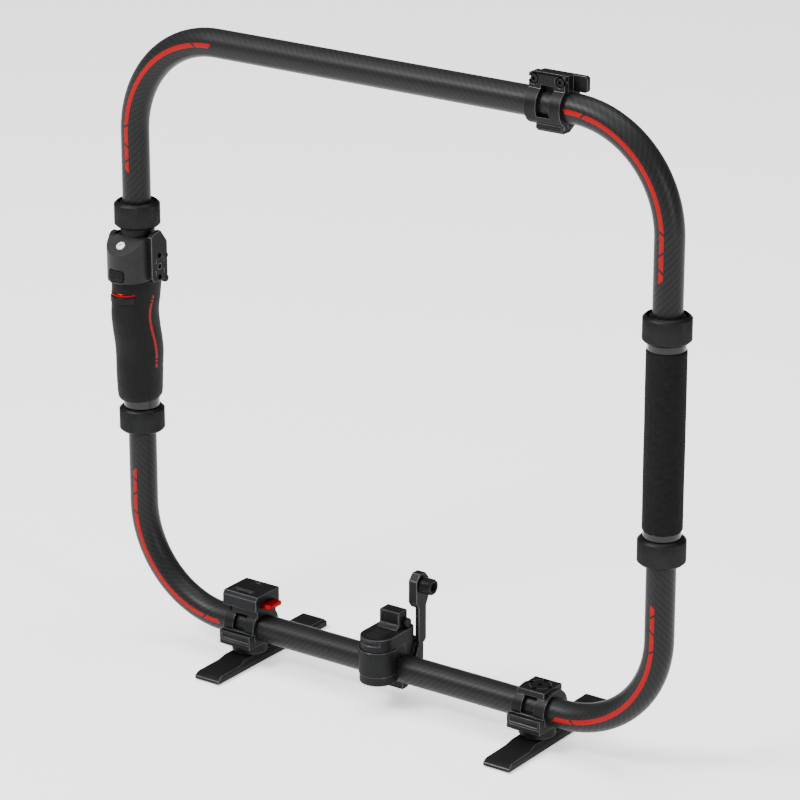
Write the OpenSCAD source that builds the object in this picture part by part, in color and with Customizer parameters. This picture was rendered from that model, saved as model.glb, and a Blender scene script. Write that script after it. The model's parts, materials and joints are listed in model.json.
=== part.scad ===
// Square ring grip for a camera gimbal: two bent carbon tubes joined by two
// upright grips, standing on two swivelling feet. Lengths are in millimetres,
// +Z is up, -Y is the front, and the origin is on the floor under the middle
// of the footprint.

/* [Ring] */
// Outside diameter of the bent tubes
tube_d = 25; // [20:0.5:32]
// Wall of the bent tubes
tube_wall = 1.5; // [1:0.25:3]
// Width of the ring between tube centres
ring_w = 541.5; // [450:0.5:660]
// Height of the ring between tube centres
ring_h = 526.5; // [436:0.5:640]
// Radius of the ring's corners at the tube centre
corner_r = 91.8; // [70:0.1:110]
// Free space between the two tube ends inside a grip
tube_end_gap = 90; // [60:1:110]

/* [Collars and cores] */
// Wall of the core that a tube end slides into
core_wall = 1.95; // [1.5:0.05:4]
// Height of a knurled collar
collar_h = 22.8; // [18:0.1:28]
// Wall of a knurled collar
collar_wall = 5.7; // [4:0.1:8]
// Bevel at both ends of a collar
collar_bevel = 2.4; // [1:0.1:3.5]
// Height of the upper collars' lower face above mid-height
collar_up = 86.4; // [78:0.1:96]
// Depth of the lower collars' upper face below mid-height
collar_down = 80.6; // [76:0.1:96]
// How far a collet stands out of its core
collet_h = 10.4; // [6:0.1:12]

/* [Foam grip] */
// Wall of the foam
foam_wall = 2.4; // [1.5:0.1:8]
// Height of the black end rings beside the foam
end_ring_h = 6; // [3:0.1:8]

/* [Control grip] */
// How far the control head's round sides stand off the core
head_side = 4.5; // [4:0.1:8]
// How far the head's front centre is ahead of the tube
head_front = 13.3; // [8:0.1:18]
// How far the head's rear centre is ahead of the tube
head_rear = 2; // [0:0.1:6]
// Height of the head's lower edge above mid-height
head_low = 41; // [38:0.1:46]
// Height of the head's upper face above mid-height
head_high = 79.6; // [76:0.1:80]
// Tilt of the head's button face
face_tilt = 36; // [20:1:45]
// Diameter of the record button
button_d = 7.9; // [6:0.1:10]
// Thickness of the accessory plate on the head's side
side_plate_t = 4.4; // [3:0.1:8]

/* [Lower clamps] */
// Distance from a clamp's middle to the start of the corner bend
clamp_inset = 25.75; // [18:0.05:60]
// Width of a lower clamp along the tube
clamp_w = 33; // [28:0.5:45]
// Wall of a clamp round the tube
clamp_wall = 4.25; // [3:0.05:7]
// Solid height under the tube in a lower jaw
jaw_floor = 1.85; // [1.5:0.05:6]

/* [Feet] */
// Reach of a foot in front of the tube
foot_front = 63; // [45:0.5:90]
// Reach of a foot behind the tube
foot_back = 98; // [60:0.5:130]
// Width of a foot at the floor
foot_w = 26.3; // [24:0.1:40]
// Height of a foot at its swivel
foot_h = 10.4; // [9:0.1:16]
// Thickness of the rubber pads under a foot
pad_t = 1.2; // [0.8:0.1:3]
// Height of the swivel disc
disc_h = 10; // [6:0.1:16]
// Radius of the swivel disc
disc_r = 16; // [12:0.1:20]

/* [Top clamp] */
// Distance from the top clamp's middle to the start of the corner bend
top_clamp_inset = 19.65; // [17.5:0.05:60]
// Width of the top clamp along the tube
top_clamp_w = 34; // [30:0.5:45]
// Height of the top clamp's flat top above the tube
top_clamp_rise = 13.85; // [12.5:0.05:24]

/* [Centre mount] */
// Radius of the mount body's round front
mount_r = 16.7; // [15.5:0.1:22]
// Distance from the tube centre to the round front's centre
mount_reach = 18; // [16:0.1:24]
// Height of the mount plate's top above the tube
mount_rise = 22.25; // [20:0.05:34]
// Thickness of the mount plate
plate_t = 11.5; // [9:0.1:16]
// Height of the lock block above the plate
block_h = 15.7; // [12:0.1:22]
// Height of the support arm above the mount plate
arm_rise = 47.5; // [35:0.5:70]

/* [Clearances] */
// Radial running clearance of pins and turned pieces
fit = 0.05; // [0.02:0.01:0.1]
// Clearance between other pieces that move past each other
gap = 0.3; // [0.2:0.05:0.5]

/* [Hidden] */
$fn = 64;
eps = 0.01;
inch = 25.4;

tube_r = tube_d / 2;
half_w = ring_w / 2;
half_h = ring_h / 2;
straight_x = half_w - corner_r;
straight_z = half_h - corner_r;
clamp_x = straight_x - clamp_inset;
top_clamp_x = straight_x - top_clamp_inset;

// Stack of pieces from the floor to the lower tube's centre
disc_top = foot_h + disc_h;
low_tube_z = disc_top + jaw_floor + tube_r;
ring_z = low_tube_z + half_h;
ring_y = -(foot_back - foot_front) / 2;

core_bore_r = tube_r + fit;
core_r = core_bore_r + core_wall;
collar_bore_r = core_r + fit;
collar_r = collar_bore_r + collar_wall;
collar_rim_r = collar_r - 3.2;
collar_rim_depth = 3.3;
collet_sunk = 0.8;
collet_slot = 1.2;
core_up = collar_up + collar_h - collet_sunk - collet_h;
core_down = collar_down + collar_h - collet_sunk - collet_h;
stop_z = tube_end_gap / 2 - gap;
cell_r = 10.5;
cell_l = 70;

foam_r = core_r + foam_wall;
foam_round = 1.6;
ring_wall = 1.35;

// Control grip: height, how far the sides and then the front and back stand
// off the core, and how far back the middle lies, at each section
grip_low = 72;
grip_sections = [
    [-grip_low, 2.1, 5.0, -1.5], [-grip_low + 2.5, 3.7, 7.0, -1.5], [-60, 4.3, 8.0, -1.6],
    [-45, 4.5, 8.8, -1.5], [-31, 4.8, 9.3, -1.0], [-20, 4.5, 9.5, -1.9],
    [-6, 3.9, 10.0, -4.4], [8, 3.5, 10.5, -6.0], [20, 3.7, 11.3, -4.6],
    [30, 3.9, 11.7, -3.4], [head_low - 0.2, 4.0, 11.5, -3.0]
];
grip_sides = 40;

head_r = core_r + head_side;
head_wall = 2.5;
cavity_low = head_low + 2.5;
cavity_high = 64;
core_space_y = -core_r - 0.7;
face_low_z = head_high - (head_front + head_r - core_r) * tan(face_tilt);
button_in = 8.9;
button_y = -(head_front + head_r) + button_in;
button_z = face_low_z + button_in * tan(face_tilt);
button_bore = 14;
rocker_w = 16.3;
rocker_h = 9.7;
rocker_z = head_low + 6.7;
rocker_proud = 1.2;
rocker_gap = 0.6;
rocker_depth = 5.4;
rocker_pin_r = 0.8;
rocker_pin_x = 9.4;
rocker_pin_y = -(head_front + head_r) + 3.7;
trigger_r = core_r + 2.5;
trigger_wall = 4.5;
trigger_y = -13.6;
trigger_w = 26.4;
trigger_low = 21;
trigger_high = 27.6;
accent_r = core_r + 3.7;
accent_wall = 2.8;
accent_y = -12.6;
accent_w = 30;
accent_low = 28.4;
accent_high = 30.2;
wheel_r = 6.5;
wheel_t = 6;
wheel_y = -(core_r - 4.5);
wheel_z = 75;
wheel_x = -(head_r + 1.2);
axle_r = 1.2;
axle_seat = 2.4;
pad_boss = 0.55;
tap_r = 2.55;
side_plate_x = head_r + pad_boss;
side_hole_z = 53;
side_hole_pitch = 9.75;

clamp_r = tube_r + clamp_wall;
heel_r = clamp_r + 0.9;
heel_y = 3.4;
flange_y = clamp_r + 5.75;
flange_high = -1.95;
flange_split = -(tube_r + jaw_floor) + 4;
cheek_y = clamp_r - 2.55;
split_gap = 0.35;
jaw_low = -(tube_r + jaw_floor);
knuckle_r = 4.2;
knuckle_w = 14;
knuckle_y = clamp_r + 2.5;
knuckle_z = -5;
pin_r = 2;
window_w = 12.6;
window_low = -1.1;
window_high = 13.5;
clamp_bolt_r = 2;
clamp_bolt_x = 10.5;
clamp_bolt_y = -(flange_y - 4);

hole_plate_box = [[-14, -10.6], [13, 17.4]];
hole_plate_high = clamp_r + 2.2;
hole_plate_low = clamp_r - 2.85;
hole_seat_low = tube_r + 0.4;
hole_x = -0.5;
hole_y = 4.6;
hole_ring_r = 9.3;
hole_r = 2.25;

neck_high = clamp_r + 3.5;
neck_box = [[-9.8, -12], [18.2, 15]];
qr_low = neck_high;
qr_high = qr_low + 13.6;
pocket_t = 1.6;
qr_box = [[-17.7, -15.5], [19.2, 18.8]];
qr_travel = 3;
lever_low = qr_low + 1.4;
lever_t = 4.6;
lever_out = 9;
lever_in = 7;
lever_ys = [-6.8, 10.2];
spring_wire_r = 0.3;
spring_r = 1.6;
spring_len = 5.8;

screw_r = 3;
screw_head_r = 5;
screw_head_h = 3;
foot_top_w = 24;
foot_tail_h = 9;
foot_nose_h = 3;

top_clamp_h = tube_r + top_clamp_rise;
top_split_y = -3.5;
top_flange_y = -9;
top_bolt_z = top_clamp_h - 4.8;
top_bolt_x = 12.4;
top_bolt_r = 2;
top_head_r = 3.5;
top_sink_r = 4.7;
top_sink = 3.4;
top_window_w = 12.5;
top_pin_r = 1.5;
top_knuckle_r = 3.9;
top_knuckle_w = 10;
top_back_x = [-10.3, 13.7];
top_knuckle_z = -(tube_r + 5.35);
top_low = top_knuckle_z - top_knuckle_r;
wing_x = [-13.3, 30.2];
wing_y = [3.5, 8];
wing_low = tube_r + 0.4;

mount_top = tube_r + mount_rise;
plate_r = 15.4;
cap_r = 16;
mount_w = 30;
plate_low = mount_top - plate_t;
body_high = plate_low - 0.2;
cap_low = -7.85;
plate_back = 18;
plate_round = 6;
bracket_back = tube_r + 11.1;
bracket_low = -(tube_r + 7.05);
bracket_join = 2;
block_w = 20.4;
block_ys = [-1, 11.4];
block_knob_r = 4.3;
block_knob_t = 4;
block_knob_y = 8;
block_knob_z = mount_top + 4.8;
block_stud_r = 1.5;
release_w = 21.6;
release_zs = [mount_top - 5.75, mount_top - 1.15];
release_travel = 2;
release_y = -25.5;
mount_screw_r = 2;
mount_screw_x = 9;
mount_screw_z = (tube_r + body_high) / 2;
mount_sink_r = 3.6;
mount_sink = 3.4;

arm_xs = [15, 19.2];
arm_ys = [16.6, 27.6];
arm_low = plate_low - 6;
arm_screw_r = 1.25;
arm_screw_y = bracket_back - 3;
arm_high = mount_top + 16.3;
head_x = 10.4;
arm_top = mount_top + arm_rise;
thumb_y = 22;
thumb_z = arm_top - 10.6;
thumb_r = 5.9;
thumb_l = 11.1;
hex_r = 3.4;
stud_r = inch / 8 - 0.075;

// ---- placing ----

module on_ring() translate([0, ring_y, ring_z]) children();
module on_left() on_ring() translate([-half_w, 0, 0]) children();
module on_right() on_ring() translate([half_w, 0, 0]) children();
module on_low_tube(x) translate([x, ring_y, low_tube_z]) children();
module on_top_tube(x) translate([x, ring_y, low_tube_z + ring_h]) children();
module at_feet(side) translate([side * clamp_x, ring_y, 0]) children();

// Stands a profile drawn in Y and Z up and gives it the width from x0 to x1
module along_x(x0, x1) translate([x0, 0, 0]) rotate([90, 0, 90]) linear_extrude(x1 - x0) children();

module box(low, high) translate(low) cube(high - low);

module rod_x(r, x0, x1, y, z) translate([x0, y, z]) rotate([0, 90, 0]) cylinder(r = r, h = x1 - x0);
module rod_y(r, y0, y1, x, z) translate([x, y1, z]) rotate([90, 0, 0]) cylinder(r = r, h = y1 - y0);
module rod_z(r, z0, z1, x, y) translate([x, y, z0]) cylinder(r = r, h = z1 - z0);

module tube_z(outer, inner, z0, z1) translate([0, 0, z0]) difference() {
    cylinder(r = outer, h = z1 - z0);
    translate([0, 0, -1]) cylinder(r = inner, h = z1 - z0 + 2);
}

// ---- frame tubes ----

module tube_section() difference() {
    circle(r = tube_r);
    circle(r = tube_r - tube_wall);
}

module half_ring() {
    leg_low = tube_end_gap / 2;
    translate([-straight_x, 0, half_h]) rotate([0, 90, 0]) linear_extrude(2 * straight_x) tube_section();
    for (side = [-1, 1]) {
        mirror([side < 0 ? 1 : 0, 0, 0]) translate([straight_x, 0, straight_z]) rotate([90, 0, 0])
            rotate_extrude(angle = 90) translate([corner_r, 0]) tube_section();
        translate([side * half_w, 0, leg_low]) linear_extrude(straight_z - leg_low) tube_section();
    }
}

module upper_tube() color("#26282a") on_ring() half_ring();
module lower_tube() color("#26282a") on_ring() mirror([0, 0, 1]) half_ring();

// ---- cores, collets and collars ----

module core() difference() {
    translate([0, 0, -core_down]) cylinder(r = core_r, h = core_down + core_up);
    translate([0, 0, stop_z]) cylinder(r = core_bore_r, h = core_up);
    translate([0, 0, -stop_z - core_down]) cylinder(r = core_bore_r, h = core_down);
    translate([0, 0, -core_down]) cylinder(r = cell_r, h = core_down + core_up);
}

module collet() difference() {
    tube_z(core_r, core_bore_r, 0, collet_h);
    for (turn = [0, 90]) rotate(turn)
        translate([-core_r - 1, -collet_slot / 2, 2]) cube([2 * core_r + 2, collet_slot, collet_h]);
}

module collets() {
    translate([0, 0, core_up]) collet();
    translate([0, 0, -core_down]) mirror([0, 0, 1]) collet();
}

module collar() rotate_extrude() difference() {
    polygon([
        [collar_bore_r, 0], [collar_r - collar_bevel, 0], [collar_r, collar_bevel],
        [collar_r, collar_h - collar_bevel], [collar_r - collar_bevel, collar_h], [collar_bore_r, collar_h]
    ]);
    translate([0, collar_h - collar_rim_depth]) square([collar_rim_r, collar_h]);
}

module upper_collar() translate([0, 0, collar_up]) collar();
module lower_collar() translate([0, 0, -collar_down]) mirror([0, 0, 1]) collar();

module left_core() color("#1b1c1e") on_left() core();
module right_core() color("#1b1c1e") on_right() core();
module left_collets() color("#2a2b2d") on_left() collets();
module right_collets() color("#2a2b2d") on_right() collets();
module left_top_collar() color("#2c2d2f") on_left() upper_collar();
module left_bottom_collar() color("#2c2d2f") on_left() lower_collar();
module right_top_collar() color("#2c2d2f") on_right() upper_collar();
module right_bottom_collar() color("#2c2d2f") on_right() lower_collar();

// ---- foam grip ----

module foam_grip() color("#1a1a1b") on_right() {
    low = -collar_down + gap + end_ring_h;
    high = collar_up - gap - end_ring_h;
    rotate_extrude() {
        translate([core_r, low + foam_round]) square([foam_wall, high - low - 2 * foam_round]);
        translate([core_r, low]) square([foam_wall - foam_round, high - low]);
        for (z = [low + foam_round, high - foam_round]) intersection() {
            translate([foam_r - foam_round, z]) circle(r = foam_round);
            translate([core_r, low]) square([foam_wall, high - low]);
        }
    }
}

module right_end_rings() color("#0e0e10") on_right() {
    tube_z(core_r + ring_wall, core_r, collar_up - gap - end_ring_h, collar_up - gap);
    tube_z(core_r + ring_wall, core_r, -collar_down + gap, -collar_down + gap + end_ring_h);
}

// ---- control grip ----

function grip_ring(s) = [for (i = [0:grip_sides - 1]) let (turn = 360 * i / grip_sides)
    [(core_r + s[1]) * cos(turn), s[3] + (core_r + s[2]) * sin(turn), s[0]]];

module lofted_grip() {
    count = len(grip_sections);
    points = [for (s = grip_sections) each grip_ring(s)];
    walls = [for (k = [0:count - 2], i = [0:grip_sides - 1])
        let (j = (i + 1) % grip_sides, a = k * grip_sides)
        [a + i, a + grip_sides + i, a + grip_sides + j, a + j]];
    floor_face = [for (i = [0:grip_sides - 1]) i];
    roof_face = [for (i = [0:grip_sides - 1]) count * grip_sides - 1 - i];
    polyhedron(points = points, faces = concat(walls, [floor_face, roof_face]), convexity = 4);
}

module front_arc(r, wall, y, w) difference() {
    intersection() {
        translate([0, y]) circle(r = r);
        translate([-w / 2, y - r - 1]) square([w, r - 4]);
    }
    translate([0, y]) circle(r = r - wall);
}

module grip_rubber() color("#1c1c1d") on_left() difference() {
    lofted_grip();
    translate([0, 0, -grip_low - 1]) cylinder(r = core_r, h = grip_low + head_low + 2);
    box([-trigger_w / 2 - 0.5, -60, trigger_low - 0.4],
        [trigger_w / 2 + 0.5, core_space_y, trigger_high + 0.4]);
    accent_arc();
}

module accent_arc() translate([0, 0, accent_low]) linear_extrude(accent_high - accent_low)
    front_arc(accent_r, accent_wall, accent_y, accent_w);

module red_accent() color("#c8202c") on_left() accent_arc();

module front_trigger() color("#242527") on_left() translate([0, 0, trigger_low])
    linear_extrude(trigger_high - trigger_low) front_arc(trigger_r, trigger_wall, trigger_y, trigger_w);

module grip_end_ring() color("#0e0e10") on_left()
    tube_z(core_r + 1.5, core_r, -collar_down + gap, -grip_low);

module grip_neck() color("#1a1b1d") on_left()
    tube_z(core_r + 0.7, core_r, head_high, collar_up - gap);

module head_outline(r) {
    translate([0, -head_front]) circle(r = r);
    translate([0, -head_rear]) circle(r = r);
    translate([-r, -head_front]) square([2 * r, head_front - head_rear]);
}

// Space above the tilted button face
module face_cut() translate([-40, 0, 0]) rotate([90, 0, 90]) linear_extrude(80) polygon([
    [-core_r, head_high], [-head_front - head_r - 10, face_low_z - 10 * tan(face_tilt)],
    [-head_front - head_r - 10, head_high + 10], [-core_r, head_high + 10]
]);

module on_button_face() translate([0, button_y, button_z]) rotate([face_tilt, 0, 0]) children();

// The rocker, or with grow the room that it tilts in
module rocker_blank(grow) intersection() {
    side = rocker_w / 2 + min(grow, gap);
    translate([0, -head_front, rocker_z - rocker_h / 2 - grow])
        cylinder(r = head_r + rocker_proud, h = rocker_h + 2 * grow);
    box([-side, -60, 0], [side, -head_front - head_r + rocker_depth + grow, 80]);
}

module rocker_axis(r, x) rod_x(r, -x, x, rocker_pin_y, rocker_z);

module head_housing() color("#2a2b2d") on_left() difference() {
    union() {
        translate([0, 0, head_low]) linear_extrude(head_high - head_low) head_outline(head_r);
        box([10, -9.5, head_low + 1], [side_plate_x, 10, head_high - 1]);
    }
    face_cut();
    translate([0, 0, head_low - 1]) cylinder(r = core_r, h = 80);
    intersection() {
        translate([0, 0, cavity_low])
            linear_extrude(cavity_high - cavity_low) head_outline(head_r - head_wall);
        box([-40, -40, 0], [40, core_space_y, 90]);
    }
    rocker_blank(rocker_gap);
    rocker_axis(rocker_pin_r, rocker_pin_x);
    on_button_face() translate([0, 0, -button_bore]) cylinder(r = button_d / 2 + gap, h = button_bore + 6);
    rod_x(wheel_r + 0.5, wheel_x - 2, wheel_x + wheel_t + gap, wheel_y, wheel_z);
    rod_x(axle_r, wheel_x, wheel_x + wheel_t + axle_seat, wheel_y, wheel_z);
}

module record_button() color("#e8e8ea") on_left() on_button_face() rotate_extrude() polygon([
    [0, -3], [button_d / 2, -3], [button_d / 2, 0.5], [button_d / 2 - 0.6, 0.9], [0, 1.1]
]);

module zoom_rocker() color("#242527") on_left() difference() {
    rocker_blank(0);
    rocker_axis(rocker_pin_r + fit, rocker_pin_x);
}

module rocker_pin() color("#8b8d90") on_left() rocker_axis(rocker_pin_r, rocker_pin_x);

module side_wheel() color("#202123") on_left() difference() {
    rod_x(wheel_r, wheel_x, wheel_x + wheel_t, wheel_y, wheel_z);
    rod_x(axle_r + fit, wheel_x - 1, wheel_x + wheel_t + 1, wheel_y, wheel_z);
}

module wheel_axle() color("#8b8d90") on_left()
    rod_x(axle_r, wheel_x + 0.4, wheel_x + wheel_t + axle_seat, wheel_y, wheel_z);

module side_plate() color("#303134") on_left() difference() {
    along_x(side_plate_x, side_plate_x + side_plate_t) polygon([
        [-10.5, 43.5], [-7.5, 39.8], [8.5, 39.8], [11, 42.5],
        [11, 74], [2.5, 85.4], [-7.5, 83.6], [-10.5, 81]
    ]);
    for (k = [-1, 0, 1])
        rod_x(tap_r, side_plate_x - 1, side_plate_x + side_plate_t + 1,
            0, side_hole_z + k * side_hole_pitch);
    for (y = [-5.5, 5.5], z = [-5.3, 5.3])
        box([side_plate_x + side_plate_t - 1.5, y - 0.6, side_hole_z + z - 1.5],
            [side_plate_x + side_plate_t + 1, y + 0.6, side_hole_z + z + 1.5]);
}

module circuit_board() color("#1f5a36") on_left()
    box([-13, -20.5, cavity_low], [13, -18.9, cavity_high]);

module battery_cell() color("#3c6ea8") on_left()
    translate([0, 0, -cell_l / 2]) cylinder(r = cell_r, h = cell_l);

// ---- lower clamps ----

module clamp_profile() {
    circle(r = clamp_r);
    translate([heel_y, 0]) circle(r = heel_r);
}

module above(z) translate([-60, z]) square([120, 100]);
module below(z) translate([-60, z - 100]) square([120, 100]);

module knuckle(x0, x1, extra) rod_x(knuckle_r + extra, x0, x1, knuckle_y, knuckle_z);

module upper_jaw() difference() {
    union() {
        along_x(-clamp_w / 2, clamp_w / 2) {
            intersection() {
                clamp_profile();
                above(flange_high);
            }
            translate([-flange_y, flange_split + split_gap])
                square([flange_y - cheek_y - split_gap, flange_high - flange_split - split_gap]);
        }
        knuckle(-knuckle_w / 2, knuckle_w / 2, 0);
        children();
    }
    rod_x(tube_r, -clamp_w, clamp_w, 0, 0);
    knuckle(knuckle_w / 2, clamp_w, gap);
    knuckle(-clamp_w, -knuckle_w / 2, gap);
    rod_x(pin_r, -clamp_w, clamp_w, knuckle_y, knuckle_z);
    box([-window_w / 2, -clamp_r - 2, window_low], [window_w / 2, -5, window_high]);
    for (side = [-1, 1])
        rod_z(clamp_bolt_r, jaw_low, flange_high - 1.5, side * clamp_bolt_x, clamp_bolt_y);
    box([-clamp_w / 2 + 2.2, -flange_y - 1, flange_split + 2],
        [clamp_w / 2 - 2.2, -flange_y + 0.8, flange_high - 2]);
}

module lower_jaw() difference() {
    union() {
        along_x(-clamp_w / 2, clamp_w / 2) {
            difference() {
                intersection() {
                    clamp_profile();
                    below(flange_high - split_gap);
                    above(jaw_low);
                }
                translate([-60, flange_split]) square([60 - cheek_y, 100]);
            }
            translate([-flange_y, jaw_low]) square([flange_y, flange_split - jaw_low]);
        }
        knuckle(knuckle_w / 2 + gap, clamp_w / 2, 0);
        knuckle(-clamp_w / 2, -knuckle_w / 2 - gap, 0);
    }
    rod_x(tube_r, -clamp_w, clamp_w, 0, 0);
    knuckle(-knuckle_w / 2 - gap, knuckle_w / 2 + gap, gap);
    rod_x(pin_r, -clamp_w, clamp_w, knuckle_y, knuckle_z);
    for (side = [-1, 1]) translate([side * clamp_bolt_x, clamp_bolt_y, jaw_low]) {
        translate([0, 0, -1]) cylinder(r = clamp_bolt_r, h = 10);
        translate([0, 0, -eps]) cylinder(r1 = 2 * clamp_bolt_r, r2 = clamp_bolt_r, h = 2);
    }
}

module qr_neck()
    box([neck_box[0][0], neck_box[0][1], tube_r + 0.4], [neck_box[1][0], neck_box[1][1], neck_high]);

module left_clamp_upper() color("#2e2f32") on_low_tube(-clamp_x) upper_jaw() qr_neck();
module left_clamp_lower() color("#2b2c2f") on_low_tube(-clamp_x) lower_jaw();
module right_clamp_lower() color("#2b2c2f") on_low_tube(clamp_x) lower_jaw();

module hole_plate_block(low, high) box([hole_plate_box[0][0], hole_plate_box[0][1], low],
    [hole_plate_box[1][0], hole_plate_box[1][1], high]);

module right_clamp_upper() color("#2e2f32") on_low_tube(clamp_x) difference() {
    upper_jaw() hole_plate_block(hole_seat_low, hole_plate_low);
    hole_plate_block(hole_plate_low, hole_plate_high + 10);
}

module hole_plate() color("#2e2f32") on_low_tube(clamp_x) difference() {
    hole_plate_block(hole_plate_low, hole_plate_high);
    rod_z(tap_r, hole_plate_low - 1, hole_plate_high + 1, hole_x, hole_y);
    for (turn = [0:90:270])
        rod_z(hole_r, hole_plate_low - 1, hole_plate_high + 1,
            hole_x + hole_ring_r * cos(turn), hole_y + hole_ring_r * sin(turn));
}

module lower_clamp_pins() color("#7d7f83") for (side = [-1, 1]) on_low_tube(side * clamp_x)
    rod_x(pin_r, -clamp_w / 2 + 0.5, clamp_w / 2 - 0.5, knuckle_y, knuckle_z);

module lower_clamp_bolts() color("#55575b") for (clamp = [-1, 1], side = [-1, 1])
    on_low_tube(clamp * clamp_x) translate([side * clamp_bolt_x, clamp_bolt_y, jaw_low + eps]) {
        cylinder(r = clamp_bolt_r, h = flange_high - jaw_low - 2.5);
        cylinder(r1 = 2 * clamp_bolt_r - 0.1, r2 = clamp_bolt_r, h = 2 - 0.1);
    }

// ---- quick-release block on the left clamp ----

module qr_block() color("#2e2f32") on_low_tube(-clamp_x) difference() {
    box([qr_box[0][0], qr_box[0][1], qr_low], [qr_box[1][0], qr_box[1][1], qr_high]);
    translate([0, qr_box[0][1], qr_high]) along_x(-40, 40) polygon([
        [-1, -4], [0, -3.4], [2.2, 0], [2.2, 1], [-1, 1]
    ]);
    box([-11, -11.3, qr_high - pocket_t], [8.4, -4.3, qr_high + 1]);
    box([-5.8, 9.5, qr_high - pocket_t], [2.2, 16.5, qr_high + 1]);
    box([qr_box[1][0] - lever_in - qr_travel - gap, lever_ys[0] - gap, lever_low - gap],
        [qr_box[1][0] + 1, lever_ys[1] + gap, lever_low + lever_t + gap]);
    rod_x(spring_r + spring_wire_r + gap, qr_box[1][0] - lever_in - qr_travel - gap - spring_len - gap,
        qr_box[1][0] - lever_in, mean(lever_ys), lever_low + lever_t / 2);
}

function mean(pair) = (pair[0] + pair[1]) / 2;

module qr_lever() color("#c4232f") on_low_tube(-clamp_x)
    box([qr_box[1][0] - lever_in, lever_ys[0], lever_low],
        [qr_box[1][0] + lever_out, lever_ys[1], lever_low + lever_t]);

// Wire wound round +Z from z = 0, its flat ends a wire radius inside its length
module coil(r, wire, length, turns) {
    steps = 14;
    sides = 6;
    count = turns * steps;
    points = [for (k = [0:count], i = [0:sides - 1])
        let (turn = 360 * k / steps, across = 360 * i / sides, out = r + wire * cos(across))
        [out * cos(turn), out * sin(turn), wire + (length - 2 * wire) * k / count + wire * sin(across)]];
    walls = [for (k = [0:count - 1], i = [0:sides - 1]) let (j = (i + 1) % sides, a = k * sides)
        [a + i, a + sides + i, a + sides + j, a + j]];
    ends = [[for (i = [0:sides - 1]) i], [for (i = [0:sides - 1]) (count + 1) * sides - 1 - i]];
    polyhedron(points = points, faces = concat(walls, ends), convexity = 8);
}

module qr_spring() color("#a9abb0") on_low_tube(-clamp_x)
    translate([qr_box[1][0] - lever_in - qr_travel - gap, mean(lever_ys), lever_low + lever_t / 2])
        rotate([0, -90, 0]) coil(spring_r, spring_wire_r, spring_len, 5);

// ---- feet ----

module swivel_discs() color("#2b2c2f") for (side = [-1, 1]) at_feet(side) difference() {
    translate([0, 0, foot_h + 0.2]) rotate_extrude() polygon([
        [0, 0], [disc_r - 1.2, 0], [disc_r, 1.2],
        [disc_r, disc_h - 1], [disc_r - 0.8, disc_h - 0.2], [0, disc_h - 0.2]
    ]);
    rod_z(screw_r, foot_h, disc_top - 2, 0, 0);
}

module foot_screws() color("#6d6f73") for (side = [-1, 1]) at_feet(side) {
    rod_z(screw_head_r, pad_t + 0.8, pad_t + 0.8 + screw_head_h, 0, 0);
    rod_z(screw_r, pad_t + 0.8 + screw_head_h, disc_top - 2.5, 0, 0);
}

module foot() difference() {
    intersection() {
        along_x(-foot_w / 2, foot_w / 2) polygon([
            [-foot_front, pad_t], [-foot_front, pad_t + foot_nose_h], [-foot_front + 5, foot_tail_h - 1.6],
            [-disc_r - 14, foot_tail_h - 1.2], [-disc_r - 6, foot_h], [disc_r + 6, foot_h],
            [disc_r + 14, foot_tail_h], [foot_back - 3, foot_tail_h],
            [foot_back, foot_tail_h - 3], [foot_back, pad_t]
        ]);
        translate([0, foot_back, 0]) rotate([90, 0, 0]) linear_extrude(foot_front + foot_back) polygon([
            [-foot_w / 2, 0], [foot_w / 2, 0], [foot_w / 2, foot_h - 4.5],
            [foot_top_w / 2 - 0.6, foot_h], [-foot_top_w / 2 + 0.6, foot_h], [-foot_w / 2, foot_h - 4.5]
        ]);
    }
    rod_z(screw_r + fit, 0, foot_h + 1, 0, 0);
    rod_z(screw_head_r + gap, 0, pad_t + 0.8 + screw_head_h + 0.1, 0, 0);
}

module foot_pads() for (span = [[-foot_front + 6, -disc_r], [disc_r, foot_back - 6]])
    box([-foot_w / 2 + 3, span[0], 0], [foot_w / 2 - 3, span[1], pad_t]);

module left_foot() color("#1f2022") at_feet(-1) foot();
module right_foot() color("#1f2022") at_feet(1) foot();
module left_foot_pads() color("#101011") at_feet(-1) foot_pads();
module right_foot_pads() color("#101011") at_feet(1) foot_pads();

// ---- top clamp ----

module top_knuckle(x0, x1, extra) rod_x(top_knuckle_r + extra, x0, x1, top_split_y, top_knuckle_z);

module top_clamp_cuts() {
    rod_x(tube_r, -top_clamp_w, 2 * top_clamp_w, 0, 0);
    rod_x(top_pin_r, -top_clamp_w, top_clamp_w, top_split_y, top_knuckle_z);
}

module top_clamp_front() color("#2e2f32") on_top_tube(top_clamp_x) difference() {
    union() {
        intersection() {
            union() {
                along_x(-top_clamp_w / 2, top_clamp_w / 2) circle(r = clamp_r);
                box([-top_clamp_w / 2, top_flange_y, 0], [top_clamp_w / 2, top_split_y, top_clamp_h]);
                box([top_back_x[0], -8, top_low + 2.5], [top_back_x[1], top_split_y, -8]);
            }
            box([-60, -60, -60], [60, top_split_y - split_gap, 60]);
        }
        top_knuckle(-top_knuckle_w / 2, top_knuckle_w / 2, 0);
    }
    top_clamp_cuts();
    top_knuckle(top_knuckle_w / 2, top_clamp_w, gap);
    top_knuckle(-top_clamp_w, -top_knuckle_w / 2, gap);
    box([-top_window_w / 2 + 0.5, -clamp_r - 2, -7.7], [top_window_w / 2 + 0.5, -2, 17.2]);
    for (side = [-1, 1]) {
        rod_y(top_bolt_r, top_flange_y - 1, 0, side * top_bolt_x, top_bolt_z);
        rod_y(top_sink_r, top_flange_y - 9, top_flange_y + top_sink, side * top_bolt_x, top_bolt_z);
    }
}

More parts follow.
